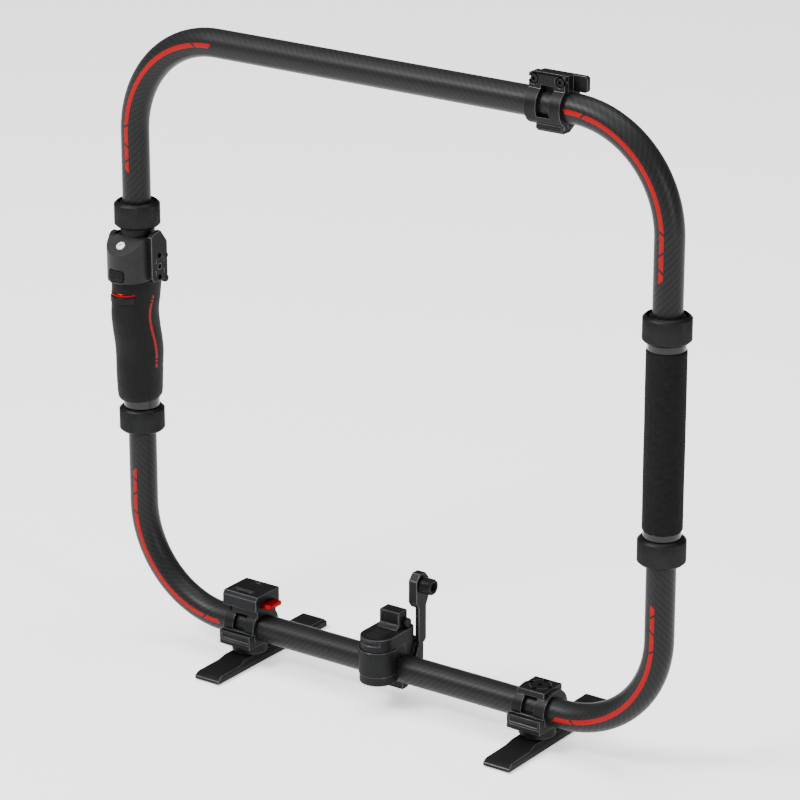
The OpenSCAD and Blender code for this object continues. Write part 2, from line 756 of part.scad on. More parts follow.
module wing_outline() {
    round_r = 2.5;
    translate([wing_x[0], wing_low]) square([wing_x[1] - wing_x[0] - round_r, top_clamp_h - wing_low]);
    translate([wing_x[0], wing_low + round_r])
        square([wing_x[1] - wing_x[0], top_clamp_h - wing_low - 2 * round_r]);
    for (z = [wing_low + round_r, top_clamp_h - round_r])
        translate([wing_x[1] - round_r, z]) circle(r = round_r);
}

module top_clamp_rear() color("#2e2f32") on_top_tube(top_clamp_x) difference() {
    union() {
        intersection() {
            union() {
                along_x(-top_clamp_w / 2, top_clamp_w / 2) circle(r = clamp_r);
                box([-top_clamp_w / 2, top_split_y, 0], [top_clamp_w / 2, wing_y[0], top_clamp_h]);
                along_x(top_back_x[0], top_back_x[1]) polygon([
                    [top_split_y, top_low], [5, top_low], [15, -16], [15, 0], [top_split_y, 0]
                ]);
            }
            box([-60, top_split_y, -60], [60, 60, 60]);
        }
        top_knuckle(top_knuckle_w / 2 + gap, top_back_x[1], 0);
        top_knuckle(top_back_x[0], -top_knuckle_w / 2 - gap, 0);
        translate([0, wing_y[1], 0]) rotate([90, 0, 0]) linear_extrude(wing_y[1] - wing_y[0]) wing_outline();
    }
    top_clamp_cuts();
    top_knuckle(-top_knuckle_w / 2 - gap, top_knuckle_w / 2 + gap, gap);
    for (side = [-1, 1])
        rod_y(top_bolt_r, top_split_y - 1, wing_y[0] - 1, side * top_bolt_x, top_bolt_z);
}

module top_clamp_bolts() color("#3a3b3e") on_top_tube(top_clamp_x) for (side = [-1, 1]) difference() {
    union() {
        rod_y(top_head_r, top_flange_y + 0.4, top_flange_y + top_sink, side * top_bolt_x, top_bolt_z);
        rod_y(top_bolt_r, top_flange_y + top_sink, wing_y[0] - 2, side * top_bolt_x, top_bolt_z);
    }
    translate([side * top_bolt_x, top_flange_y + 2, top_bolt_z]) rotate([90, 0, 0])
        cylinder(r = 1.9, h = 3, $fn = 6);
}

module top_clamp_pin() color("#7d7f83") on_top_tube(top_clamp_x)
    rod_x(top_pin_r, top_back_x[0] + gap, top_back_x[1] - gap, top_split_y, top_knuckle_z);

// ---- centre mount ----

module front_round(r) translate([0, -mount_reach]) circle(r = r);

module mount_body() color("#2b2c2e") on_low_tube(0) difference() {
    union() {
        linear_extrude(body_high) front_round(mount_r);
        box([-mount_w / 2, -mount_reach, 0], [mount_w / 2, bracket_join, body_high]);
    }
    rod_x(tube_r, -60, 60, 0, 0);
    for (side = [-1, 1]) rod_y(mount_screw_r, -8.5, 30, side * mount_screw_x, mount_screw_z);
}

module mount_cap() color("#2b2c2e") on_low_tube(0) difference() {
    translate([0, 0, cap_low]) linear_extrude(-cap_low - 0.2) {
        front_round(cap_r);
        translate([-mount_w / 2, -mount_reach]) square([mount_w, mount_reach - 3]);
    }
    rod_x(tube_r, -60, 60, 0, 0);
}

module mount_plate() color("#303134") on_low_tube(0) difference() {
    translate([0, 0, plate_low]) linear_extrude(plate_t) {
        front_round(plate_r);
        translate([-plate_r, -mount_reach]) square([2 * plate_r, mount_reach + plate_back - plate_round]);
        translate([-plate_r + 4, 0]) square([2 * plate_r - 8, plate_back]);
        for (side = [-1, 1])
            translate([side * (plate_r - plate_round), plate_back - plate_round]) circle(r = plate_round);
    }
    box([-release_w / 2, -60, release_zs[0]],
        [release_w / 2, release_y + release_travel + gap, release_zs[1]]);
    rod_y(spring_r + spring_wire_r + gap, release_y, release_y + release_travel + gap + spring_len + gap,
        0, mean(release_zs));
}

module release_button() color("#232426") on_low_tube(0) intersection() {
    box([-release_w / 2 + gap, -60, release_zs[0] + gap],
        [release_w / 2 - gap, release_y, release_zs[1] - gap]);
    linear_extrude(60) front_round(plate_r - 0.3);
}

module release_spring() color("#a9abb0") on_low_tube(0)
    translate([0, release_y + release_travel + gap, mean(release_zs)]) rotate([-90, 0, 0])
        coil(spring_r, spring_wire_r, spring_len, 5);

module lock_block() color("#303134") on_low_tube(0) difference() {
    union() {
        box([-block_w / 2, block_ys[0], mount_top], [block_w / 2, block_ys[1], mount_top + block_h]);
        along_x(-block_w / 2, block_w / 2) polygon([
            [block_ys[0] - 4, mount_top], [block_ys[0], mount_top], [block_ys[0], mount_top + 3.4],
            [block_ys[0] - 4, mount_top + 0.8]
        ]);
    }
    box([-block_w / 2 + 2, block_ys[0] - 1, mount_top + 4],
        [block_w / 2 - 2, block_ys[0] + 1, mount_top + block_h - 2.4]);
    rod_x(block_stud_r + fit, block_w / 2 - 7, block_w / 2 + 1, block_knob_y, block_knob_z);
}

module block_knob() color("#1e1f21") on_low_tube(0) {
    rod_x(block_knob_r, block_w / 2 + gap, block_w / 2 + gap + block_knob_t, block_knob_y, block_knob_z);
    rod_x(block_stud_r, block_w / 2 - 6, block_w / 2 + gap, block_knob_y, block_knob_z);
}

module rear_bracket() color("#2c2d30") on_low_tube(0) difference() {
    union() {
        along_x(-mount_w / 2, mount_w / 2) polygon([
            [-2.2, bracket_low], [5, bracket_low], [tube_r + 3.5, -14], [bracket_back, -4],
            [bracket_back, body_high - 3], [bracket_back - 3, body_high],
            [bracket_join, body_high], [bracket_join, -tube_r + 1], [-2.2, -tube_r - 0.2]
        ]);
        along_x(mount_w / 2 - 1, arm_xs[1]) polygon([
            [9, 1.5], [bracket_back, 1.5], [bracket_back, arm_low], [arm_ys[0], arm_low]
        ]);
    }
    rod_x(tube_r, -60, 60, 0, 0);
    for (side = [-1, 1]) {
        rod_y(mount_screw_r, 0, 30, side * mount_screw_x, mount_screw_z);
        rod_y(mount_sink_r, bracket_back - mount_sink, 60, side * mount_screw_x, mount_screw_z);
    }
    rod_z(arm_screw_r, 0, arm_low + 1, mean(arm_xs), arm_screw_y);
}

module mount_screws() color("#5b5d61") on_low_tube(0) for (side = [-1, 1]) difference() {
    union() {
        rod_y(mount_screw_r, -8, bracket_back - mount_sink, side * mount_screw_x, mount_screw_z);
        rod_y(mount_sink_r - 0.1, bracket_back - mount_sink, bracket_back - 0.4,
            side * mount_screw_x, mount_screw_z);
    }
    translate([side * mount_screw_x, bracket_back, mount_screw_z]) rotate([90, 0, 0])
        cylinder(r = 1.8, h = 2.2, $fn = 6);
}

module support_arm() color("#303134") on_low_tube(0) difference() {
    union() {
        along_x(arm_xs[0], arm_xs[1]) polygon([
            [arm_ys[0], arm_low], [arm_ys[1] - 2.6, arm_low], [arm_ys[1], arm_low + 2.8],
            [arm_ys[1], arm_high], [arm_ys[0], arm_high]
        ]);
        along_x(head_x, arm_xs[1]) polygon([
            [13, arm_high + 5], [arm_ys[0], arm_high], [arm_ys[1], arm_high], [31.3, arm_high + 7],
            [31.3, arm_top - 6], [26, arm_top], [18.5, arm_top], [13, arm_top - 5.7]
        ]);
    }
    rod_x(stud_r + fit, 0, 40, thumb_y, thumb_z);
    rod_z(arm_screw_r, arm_low - 1, arm_low + 6, mean(arm_xs), arm_screw_y);
}

module arm_screw() color("#5b5d61") on_low_tube(0)
    rod_z(arm_screw_r, 1.5, arm_low + 5.5, mean(arm_xs), arm_screw_y);

module thumbscrew() color("#27282a") on_low_tube(0) difference() {
    union() {
        rod_x(thumb_r, arm_xs[1] + gap, arm_xs[1] + gap + thumb_l, thumb_y, thumb_z);
        rod_x(stud_r, head_x + 0.5, arm_xs[1] + 1, thumb_y, thumb_z);
    }
    translate([arm_xs[1] + gap + thumb_l - 4, thumb_y, thumb_z]) rotate([0, 90, 0])
        cylinder(r = hex_r, h = 10, $fn = 6);
}

// ---- nodes ----

upper_tube();
lower_tube();
left_core();
right_core();
left_collets();
right_collets();
left_top_collar();
left_bottom_collar();
right_top_collar();
right_bottom_collar();
foam_grip();
right_end_rings();
grip_rubber();
grip_end_ring();
grip_neck();
head_housing();
side_plate();
circuit_board();
battery_cell();
record_button();
zoom_rocker();
rocker_pin();
front_trigger();
red_accent();
side_wheel();
wheel_axle();
top_clamp_front();
top_clamp_rear();
top_clamp_bolts();
top_clamp_pin();
left_clamp_upper();
left_clamp_lower();
right_clamp_upper();
right_clamp_lower();
hole_plate();
lower_clamp_pins();
lower_clamp_bolts();
qr_block();
qr_lever();
qr_spring();
swivel_discs();
foot_screws();
left_foot();
right_foot();
left_foot_pads();
right_foot_pads();
mount_cap();
mount_body();
mount_plate();
release_button();
release_spring();
lock_block();
block_knob();
rear_bracket();
mount_screws();
support_arm();
arm_screw();
thumbscrew();
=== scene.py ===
import json
import math

import bmesh
import bpy
from mathutils import Matrix, Vector


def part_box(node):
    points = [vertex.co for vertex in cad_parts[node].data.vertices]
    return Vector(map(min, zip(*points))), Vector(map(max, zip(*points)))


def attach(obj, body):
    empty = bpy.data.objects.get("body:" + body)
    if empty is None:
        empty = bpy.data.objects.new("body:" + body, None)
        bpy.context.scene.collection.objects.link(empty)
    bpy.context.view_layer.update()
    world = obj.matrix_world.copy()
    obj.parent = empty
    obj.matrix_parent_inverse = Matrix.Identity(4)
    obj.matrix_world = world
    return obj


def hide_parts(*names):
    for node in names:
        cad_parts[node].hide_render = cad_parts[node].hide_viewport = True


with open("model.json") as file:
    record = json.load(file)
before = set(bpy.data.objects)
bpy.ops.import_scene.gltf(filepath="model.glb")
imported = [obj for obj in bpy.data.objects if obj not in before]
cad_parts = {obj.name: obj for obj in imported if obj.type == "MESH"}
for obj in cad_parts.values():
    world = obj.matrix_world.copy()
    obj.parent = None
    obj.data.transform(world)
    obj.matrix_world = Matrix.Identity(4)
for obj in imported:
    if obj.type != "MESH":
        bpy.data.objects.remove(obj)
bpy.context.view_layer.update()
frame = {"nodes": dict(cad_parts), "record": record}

bl_info = {
    "name": "Square Ring Grip",
    "version": (1, 0, 0),
    "blender": (4, 5, 0),
    "location": "3D View > Sidebar > Ring Grip",
    "description": "Finishes a square carbon ring grip for a camera gimbal",
    "category": "Object",
}

MM = 0.001
WELD = 0.000001

# ---- places and sizes that come from the frame ----

BODY_OF = {n: b for b, nodes in frame["record"]["behaviour"]["bodies"].items() for n in nodes}
SLOT_OF = {part["node"]: part["material_slot"] for part in frame["record"]["subparts"]}


def low(node):
    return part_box(node)[0]


def high(node):
    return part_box(node)[1]


def middle(node):
    return (Vector(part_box(node)[0]) + Vector(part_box(node)[1])) / 2


TUBE_R = (high("upper_tube")[1] - low("upper_tube")[1]) / 2
RING_Y = middle("upper_tube").y
HALF_W = (high("upper_tube")[0] - low("upper_tube")[0]) / 2 - TUBE_R
TOP_Z = high("upper_tube")[2] - TUBE_R
LOW_Z = low("lower_tube")[2] + TUBE_R
RING_Z = (TOP_Z + LOW_Z) / 2
HALF_H = (TOP_Z - LOW_Z) / 2
LEG_LOW = low("upper_tube")[2] - RING_Z
CORE_R = (high("right_core")[0] - low("right_core")[0]) / 2
COLLAR_R = (high("right_top_collar")[0] - low("right_top_collar")[0]) / 2
COLLAR_H = high("right_top_collar")[2] - low("right_top_collar")[2]
LEFT = Vector((-HALF_W, RING_Y, RING_Z))
RIGHT = Vector((HALF_W, RING_Y, RING_Z))


# ---- settings ----

class GripSizes(bpy.types.PropertyGroup):
    """Sizes of the details that are added to the frame."""
    corner_radius: bpy.props.FloatProperty(
        name="Corner Radius", description="Radius of the ring's corners at the tube centre",
        default=91.8 * MM, min=0.06, max=0.12, unit="LENGTH")
    stripe_width: bpy.props.FloatProperty(
        name="Stripe Width", description="Width of the red stripes",
        default=4.1 * MM, min=0.001, max=0.01, unit="LENGTH")
    tow_count: bpy.props.IntProperty(
        name="Tows Around", description="Tows of the carbon weave round a tube, a multiple of four",
        default=52, min=8, max=120)
    ridge_count: bpy.props.IntProperty(
        name="Knurl Ridges", description="Ridges round a collar", default=80, min=20, max=160)
    ridge_depth: bpy.props.FloatProperty(
        name="Knurl Depth", description="Depth of the grooves between the ridges",
        default=0.42 * MM, min=0.0001, max=0.001, unit="LENGTH")
    edge_round: bpy.props.FloatProperty(
        name="Edge Rounding", description="Rounding of machined edges",
        default=0.35 * MM, min=0.00005, max=0.002, unit="LENGTH")
    button_tilt: bpy.props.FloatProperty(
        name="Button Tilt", description="Slope of the control head's button face",
        default=math.radians(36), min=0.2, max=1.2, subtype="ANGLE")


class GripColours(bpy.types.PropertyGroup):
    """Colours of the finishes."""
    carbon: bpy.props.FloatVectorProperty(
        name="Carbon", description="Colour of the carbon tows", subtype="COLOR",
        default=(0.0135, 0.0138, 0.0144), min=0, max=1)
    anodised: bpy.props.FloatVectorProperty(
        name="Anodised Black", description="Colour of the black anodised metal", subtype="COLOR",
        default=(0.0125, 0.0127, 0.0132), min=0, max=1)
    rubber: bpy.props.FloatVectorProperty(
        name="Rubber", description="Colour of the control grip's rubber", subtype="COLOR",
        default=(0.0058, 0.0058, 0.0060), min=0, max=1)
    foam: bpy.props.FloatVectorProperty(
        name="Foam", description="Colour of the foam grip", subtype="COLOR",
        default=(0.0065, 0.0065, 0.0068), min=0, max=1)
    red_print: bpy.props.FloatVectorProperty(
        name="Red Stripe", description="Colour of the printed stripes", subtype="COLOR",
        default=(0.25, 0.0008, 0.0022), min=0, max=1)
    red_metal: bpy.props.FloatVectorProperty(
        name="Red Metal", description="Colour of the red anodised metal", subtype="COLOR",
        default=(0.22, 0.0015, 0.003), min=0, max=1)
    floor: bpy.props.FloatVectorProperty(
        name="Floor", description="Colour of the floor", subtype="COLOR",
        default=(0.94, 0.94, 0.94), min=0, max=1)


def sizes():
    return bpy.context.scene.grip_sizes


def colours():
    return bpy.context.scene.grip_colours


# ---- shader expressions ----

class Value:
    """A socket that adds Math nodes when it stands in an expression."""

    def __init__(self, finish, socket):
        self.finish = finish
        self.socket = socket

    def math(self, operation, *values):
        return self.finish.node("ShaderNodeMath", {"operation": operation}, dict(enumerate(values)))

    def __add__(self, other):
        return self.math("ADD", self, other)

    def __radd__(self, other):
        return self.math("ADD", other, self)

    def __sub__(self, other):
        return self.math("SUBTRACT", self, other)

    def __rsub__(self, other):
        return self.math("SUBTRACT", other, self)

    def __mul__(self, other):
        return self.math("MULTIPLY", self, other)

    def __rmul__(self, other):
        return self.math("MULTIPLY", other, self)

    def __lt__(self, other):
        return self.math("LESS_THAN", self, other)

    def floor(self):
        return self.math("FLOOR", self)

    def fraction(self):
        return self.math("FRACT", self)

    def remainder(self, by):
        return self.math("FLOORED_MODULO", self, by)

    def size(self):
        return self.math("ABSOLUTE", self)


def label(word):
    """A shader socket's label from its name as a Python word."""
    return word.replace("_", " ").title().replace("Ior", "IOR")


class Finish:
    """One material under construction."""

    def __init__(self, name, **uniform):
        self.material = bpy.data.materials.new(name)
        self.material.use_nodes = True
        self.tree = self.material.node_tree
        self.shader = self.tree.nodes["Principled BSDF"]
        for socket, value in uniform.items():
            self.shader.inputs[label(socket)].default_value = value

    def put(self, socket, value):
        if isinstance(value, Value):
            self.tree.links.new(value.socket, socket)
        else:
            socket.default_value = value

    def node(self, kind, settings=None, values=None, out=0):
        node = self.tree.nodes.new(kind)
        for name, setting in (settings or {}).items():
            if name == "stops":
                ramp = node.color_ramp.elements
                while len(ramp) < len(setting):
                    ramp.new(0.5)
                for element, (place, colour) in zip(ramp, setting):
                    element.position = place
                    element.color = colour
            else:
                setattr(node, name, setting)
        for name, value in (values or {}).items():
            self.put(node.inputs[name], value)
        return Value(self, node.outputs[out])

    def place(self):
        return self.node("ShaderNodeTexCoord", out="Object")

    def noise(self, scale, detail=3.0, roughness=0.55, at=None):
        return self.node("ShaderNodeTexNoise", {"noise_dimensions": "3D"},
                         {"Vector": at or self.place(), "Scale": scale, "Detail": detail,
                          "Roughness": roughness})

    def spread(self, value, low_end, high_end, to_low, to_high):
        return self.node("ShaderNodeMapRange", {"clamp": True},
                         {"Value": value, 1: low_end, 2: high_end, 3: to_low, 4: to_high})

    def mixed(self, share, first, second):
        return self.node("ShaderNodeMix", {"data_type": "RGBA"},
                         {0: share, 6: first, 7: second}, out=2)

    def stretched(self, scale):
        return self.node("ShaderNodeMapping", None, {"Vector": self.place(), "Scale": scale})

    def surface(self, **values):
        for socket, value in values.items():
            self.put(self.shader.inputs[label(socket)], value)

    def bump(self, height, distance, strength=1.0):
        normal = self.node("ShaderNodeBump", None,
                           {"Height": height, "Distance": distance, "Strength": strength})
        self.put(self.shader.inputs["Normal"], normal)


def rgba(colour, times=1.0):
    return (*[min(1.0, c * times) for c in colour], 1.0)


FINISHES = {}


def finish(name):
    if name not in FINISHES:
        FINISHES[name] = FINISH_MAKERS[name](name)
    return FINISHES[name]


def carbon_finish(name):
    """Two-over-two twill of carbon tows under a satin coat, laid out along and round the tube."""
    f = Finish(name, specular_ior_level=0.12, coat_weight=0.03, coat_roughness=0.28)
    at = f.node("ShaderNodeUVMap", {"uv_map": "weave"})
    split = f.node("ShaderNodeSeparateXYZ", None, {0: at})
    along = Value(f, split.socket.node.outputs[0])
    around = Value(f, split.socket.node.outputs[1])
    step = (along.floor() + around.floor()).remainder(4.0)
    over = step < 1.5
    warp = 1.0 - ((along.fraction() - 0.5).size() * 2.0)
    weft = 1.0 - ((around.fraction() - 0.5).size() * 2.0)
    crown = over * weft + (1.0 - over) * warp
    strands = f.noise(2600.0, 2.0)
    shade = f.spread(crown * 0.6 + strands * 0.5, 0.25, 1.0, 0.0, 1.0)
    c = colours().carbon
    tint = f.mixed(over, rgba(c, 0.72), rgba(c, 1.3))
    f.surface(base_color=f.mixed(shade, rgba(c, 0.42), tint),
              roughness=f.spread(crown + over * 0.35, 0.0, 1.3, 0.50, 0.33))
    f.bump(crown, 0.00006, 0.55)
    return f.material


def anodised_finish(name, colour=None, rough=(0.36, 0.50), metallic=0.55, grain=1.0):
    """Bead-blasted metal with a hard anodised coat: fine pits, and slight cloudiness across a piece."""
    f = Finish(name, metallic=metallic, specular_ior_level=0.18, specular_tint=rgba((0.35, 0.35, 0.36)))
    colour = colour or colours().anodised
    pits = f.noise(3200.0, 2.0, 0.6)
    cloud = f.noise(70.0, 3.0)
    scuffs = f.noise(420.0, 4.0, 0.7)
    shade = f.spread(cloud * 0.7 + pits * 0.3, 0.3, 0.7, 0.0, 1.0)
    f.surface(base_color=f.mixed(shade, rgba(colour, 0.86), rgba(colour, 1.2)),
              roughness=f.spread(scuffs * 0.6 + cloud * 0.4, 0.32, 0.68, *rough))
    f.bump(pits, 0.00003 * grain, 0.5)
    return f.material


def painted_highlight_finish(name):
    """Painted highlight along a rounded edge: the anodised colour five times lighter and satin, in place of
    the edge's bright highlight.
    """
    return anodised_finish(name, [c * 5 for c in colours().anodised], (0.24, 0.34), 0.6, 0.6)


def knurl_finish(name):
    return anodised_finish(name, [c * 1.1 for c in colours().anodised], (0.30, 0.42), 0.6, 0.7)


def foot_finish(name):
    return anodised_finish(name, [c * 0.62 for c in colours().anodised], (0.42, 0.56), 0.35)


def red_metal_finish(name):
    return anodised_finish(name, colours().red_metal, (0.24, 0.36), 0.75, 0.6)


def rubber_finish(name):
    """Soft-touch rubber: a fine even stipple that stays matt."""
    f = Finish(name, specular_ior_level=0.1, sheen_weight=0.01, sheen_roughness=0.45)
    stipple = f.node("ShaderNodeTexVoronoi", {"feature": "SMOOTH_F1"},
                     {"Vector": f.place(), "Scale": 1900.0, "Smoothness": 0.7})
    cloud = f.noise(60.0, 3.0)
    c = colours().rubber
    f.surface(base_color=f.mixed(f.spread(cloud, 0.35, 0.65, 0.0, 1.0), rgba(c, 0.9), rgba(c, 1.22)),
              roughness=f.spread(f.noise(380.0, 3.0), 0.35, 0.65, 0.60, 0.72))
    f.bump(stipple, 0.00007, 0.55)
    return f.material


def foam_finish(name):
    """Closed-cell foam: small cells of two sizes and a dry, dusty surface."""
    f = Finish(name, specular_ior_level=0.08, sheen_weight=0.01, sheen_roughness=0.6)
    cells = f.node("ShaderNodeTexVoronoi", {"feature": "F1"}, {"Vector": f.place(), "Scale": 1150.0})
    large = f.node("ShaderNodeTexVoronoi", {"feature": "F1"}, {"Vector": f.place(), "Scale": 430.0})
    skin = f.noise(240.0, 4.0, 0.65)
    c = colours().foam
    pores = f.spread(cells * 0.6 + large * 0.4, 0.15, 0.62, 0.0, 1.0)
    f.surface(base_color=f.mixed(pores * 0.7 + skin * 0.3, rgba(c, 1.45), rgba(c, 0.6)),
              roughness=f.spread(skin, 0.3, 0.7, 0.82, 0.95))
    f.bump(1.0 - pores + skin * 0.5, 0.00022, 0.6)
    return f.material


def gloss_finish(name):
    """Polished black ring with faint turning marks."""
    f = Finish(name, base_color=rgba((0.004, 0.004, 0.0045)), specular_ior_level=0.3)
    marks = f.noise(1.0, 2.0, at=f.stretched((60.0, 60.0, 2600.0)))
    f.surface(roughness=f.spread(marks, 0.3, 0.7, 0.10, 0.20))
    f.bump(marks, 0.00001, 0.3)
    return f.material


def shell_finish(name):
    """Moulded shell of the control head, with a fine spark texture."""
    f = Finish(name, specular_ior_level=0.16)
    spark = f.noise(1500.0, 3.0, 0.6)
    cloud = f.noise(90.0, 2.0)
    c = [v * 0.92 for v in colours().anodised]
    f.surface(base_color=f.mixed(f.spread(spark * 0.5 + cloud * 0.5, 0.35, 0.65, 0.0, 1.0),
                                 rgba(c, 0.85), rgba(c, 1.2)),
              roughness=f.spread(spark, 0.3, 0.7, 0.40, 0.54))
    f.bump(spark, 0.00005, 0.5)
    return f.material


def print_finish(name):
    """Red printed film: slightly uneven ink over the weave."""
    f = Finish(name, specular_ior_level=0.1)
    ink = f.noise(900.0, 3.0)
    c = colours().red_print
    f.surface(base_color=f.mixed(f.spread(ink, 0.35, 0.65, 0.0, 1.0), rgba(c, 0.9), rgba(c, 1.08)),
              roughness=f.spread(f.noise(300.0, 3.0), 0.3, 0.7, 0.34, 0.46))
    f.bump(ink, 0.00002, 0.4)
    return f.material


def button_finish(name):
    """Satin white button cap with fine turning rings."""
    f = Finish(name, base_color=rgba((0.78, 0.78, 0.80)), coat_weight=0.4, coat_roughness=0.12)
    grain = f.noise(1400.0, 2.0)
    f.surface(roughness=f.spread(grain, 0.3, 0.7, 0.24, 0.34))
    f.bump(grain, 0.00001, 0.3)
    return f.material


def steel_finish(name, colour=(0.07, 0.07, 0.073), rough=(0.26, 0.38)):
    """Ground steel with fine lines along X."""
    f = Finish(name, metallic=1.0)
    lines = f.noise(1.0, 3.0, at=f.stretched((90.0, 2800.0, 2800.0)))
    f.surface(base_color=f.mixed(f.spread(lines, 0.3, 0.7, 0.0, 1.0), rgba(colour, 0.8), rgba(colour, 1.1)),
              roughness=f.spread(lines, 0.3, 0.7, *rough))
    f.bump(lines, 0.00001, 0.4)
    return f.material


def dark_steel_finish(name):
    return steel_finish(name, (0.018, 0.018, 0.019), (0.30, 0.44))


def glint_finish(name):
    """Faint bright line of steel colour: a painted highlight in place of the glints on the plate's engraved
    ring.
    """
    return steel_finish(name, (0.34, 0.34, 0.35), (0.30, 0.42))


def shade_and_print_finish(name):
    """Painted shade for deep recesses, near black with a faint speckle; also the dark print of the record
    symbol.
    """
    f = Finish(name, specular_ior_level=0.2)
    shade_speckle = f.noise(700.0, 3.0)
    f.surface(base_color=f.mixed(shade_speckle, rgba((0.004, 0.004, 0.004)), rgba((0.010, 0.010, 0.010))),
              roughness=f.spread(shade_speckle, 0.3, 0.7, 0.55, 0.75))
    return f.material


def board_finish(name):
    """Green solder mask over faint copper runs."""
    f = Finish(name)
    runs = f.node("ShaderNodeTexBrick", {"offset": 0.5},
                  {"Vector": f.stretched((300.0, 300.0, 300.0)), "Color1": rgba((0.02, 0.16, 0.06)),
                   "Color2": rgba((0.03, 0.22, 0.09)), "Mortar": rgba((0.05, 0.30, 0.13))})
    f.surface(base_color=runs, roughness=f.spread(f.noise(500.0), 0.3, 0.7, 0.3, 0.45))
    return f.material


def cell_finish(name):
    """Blue shrink sleeve with slight wrinkles."""
    f = Finish(name)
    folds = f.noise(1.0, 3.0, at=f.stretched((300.0, 300.0, 40.0)))
    f.surface(base_color=f.mixed(folds, rgba((0.05, 0.16, 0.38)), rgba((0.08, 0.24, 0.52))),
              roughness=f.spread(folds, 0.3, 0.7, 0.25, 0.4))
    f.bump(folds, 0.0001, 0.4)
    return f.material


def floor_finish(name):
    """Pale matt studio floor with a trace of mottling."""
    c = colours().floor
    f = Finish(name, specular_ior_level=0.1, emission_color=rgba(c), emission_strength=0.9)
    cloud = f.noise(3.0, 2.0)
    f.surface(base_color=f.mixed(cloud, rgba(c, 0.985), rgba(c, 1.0)),
              roughness=f.spread(cloud, 0.3, 0.7, 0.85, 0.95))
    return f.material


FINISH_MAKERS = {
    "carbon": carbon_finish, "core_metal": anodised_finish, "knurled_metal": knurl_finish,
    "foam": foam_finish, "gloss_ring": gloss_finish, "grip_rubber": rubber_finish,
    "head_shell": shell_finish, "black_metal": anodised_finish, "foot_black": foot_finish,
    "red_metal": red_metal_finish, "button_white": button_finish, "board": board_finish,
    "cell": cell_finish, "steel": steel_finish, "dark_steel": dark_steel_finish,
    "polished_edge": painted_highlight_finish, "red_print": print_finish, "bright_mark": glint_finish,
    "recess_dark": shade_and_print_finish, "studio_floor": floor_finish,
}


# ---- making pieces ----

def piece(name, bm, body, material, smooth=35.0, recalculate=True):
    """Turns a bmesh into an object at the origin that rides on a body."""
    bmesh.ops.remove_doubles(bm, verts=bm.verts, dist=WELD)
    if recalculate:
        bmesh.ops.recalc_face_normals(bm, faces=bm.faces)
    mesh = bpy.data.meshes.new(name)
    bm.to_mesh(mesh)
    bm.free()
    mesh.shade_smooth()
    mesh.set_sharp_from_angle(angle=math.radians(smooth))
    obj = bpy.data.objects.new(name, mesh)
    bpy.context.scene.collection.objects.link(obj)
    mesh.materials.append(finish(material))
    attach(obj, body)
    return obj


def stand_in(name, bm, node, material, smooth=35.0):
    """A finished piece in a CAD node's place."""
    obj = piece(name, bm, BODY_OF[node], material, smooth)
    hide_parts(node)
    return obj


def refinish(*nodes):
    """Gives CAD nodes that show as they are the finish of their slot."""
    for node in nodes:
        materials = frame["nodes"][node].data.materials
        materials.clear()
        materials.append(finish(SLOT_OF[node]))


def rounded(obj, width, segments=2):
    """Rounds the sharp edges of a piece."""
    bevel = obj.modifiers.new("Edge", "BEVEL")
    bevel.width = width
    bevel.segments = segments
    bevel.limit_method = "ANGLE"
    bevel.angle_limit = math.radians(32)
    bevel.harden_normals = True
    bevel.use_clamp_overlap = False
    return obj


def machined(node, edge=None, whole_faces=True):
    """A copy of a CAD node with its edges rounded, in the node's place; on black metal the rounded edges
    carry a painted highlight.
    """
    bm = bmesh.new()
    bm.from_mesh(frame["nodes"][node].data)
    bmesh.ops.remove_doubles(bm, verts=bm.verts, dist=2 * WELD)
    if whole_faces:
        bmesh.ops.dissolve_limit(bm, angle_limit=math.radians(0.6), verts=bm.verts, edges=bm.edges)
    obj = piece(node + "_finished", bm, BODY_OF[node], SLOT_OF[node], 32.0, False)
    bevel = rounded(obj, sizes().edge_round if edge is None else edge).modifiers[-1]
    # black metal gets a painted highlight on its bevel faces
    if SLOT_OF[node] in ("black_metal", "core_metal", "foot_black"):
        obj.data.materials.append(finish("polished_edge"))
        bevel.material = 1
    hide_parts(node)
    return obj


def boundary(bm):
    return [e for e in bm.edges if e.is_boundary]


def verts_in(geom):
    return [g for g in geom if isinstance(g, bmesh.types.BMVert)]


def edges_in(geom):
    return [g for g in geom if isinstance(g, bmesh.types.BMEdge)]


def in_mm(*stops):
    """A profile's stops from millimetres."""
    return [(stop[0] * MM, stop[1] * MM) for stop in stops]


def facing_x(place):
    """A turned piece's frame at a place, with its axis along X."""
    return Matrix.Translation(place) @ Matrix.Rotation(math.radians(90), 4, "Y")


def rings(stops, sides, where):
    """A skin through one ring of vertices per stop; where() places a vertex from its stop and its turn."""
    bm = bmesh.new()
    rim = set(bmesh.ops.create_circle(bm, segments=sides, radius=1.0)["verts"])
    for _ in stops[1:]:
        edges = [e for e in {e for v in rim for e in v.link_edges} if set(e.verts) <= rim]
        made = bmesh.ops.extrude_edge_only(bm, edges=edges)["geom"]
        rim = set(verts_in(made))
        bmesh.ops.translate(bm, vec=(0, 0, 1), verts=list(rim))
    for v in bm.verts:
        v.co = where(stops[round(v.co.z)], math.atan2(v.co.y, v.co.x))
    return bm


def turned(profile, sides, groove=0.0, closed=True):
    """A piece turned about Z. A stop is a radius, a height and whether the knurl crosses it."""
    def where(stop, turn):
        sunk = groove if len(stop) > 2 and round(turn / math.tau * sides) % 4 > 1 else 0.0
        return (stop[0] - sunk) * math.cos(turn), (stop[0] - sunk) * math.sin(turn), stop[1]

    bm = rings(profile, sides, where)
    if closed:
        bmesh.ops.bridge_loops(bm, edges=boundary(bm))
    else:
        bmesh.ops.holes_fill(bm, edges=boundary(bm))
    return bm


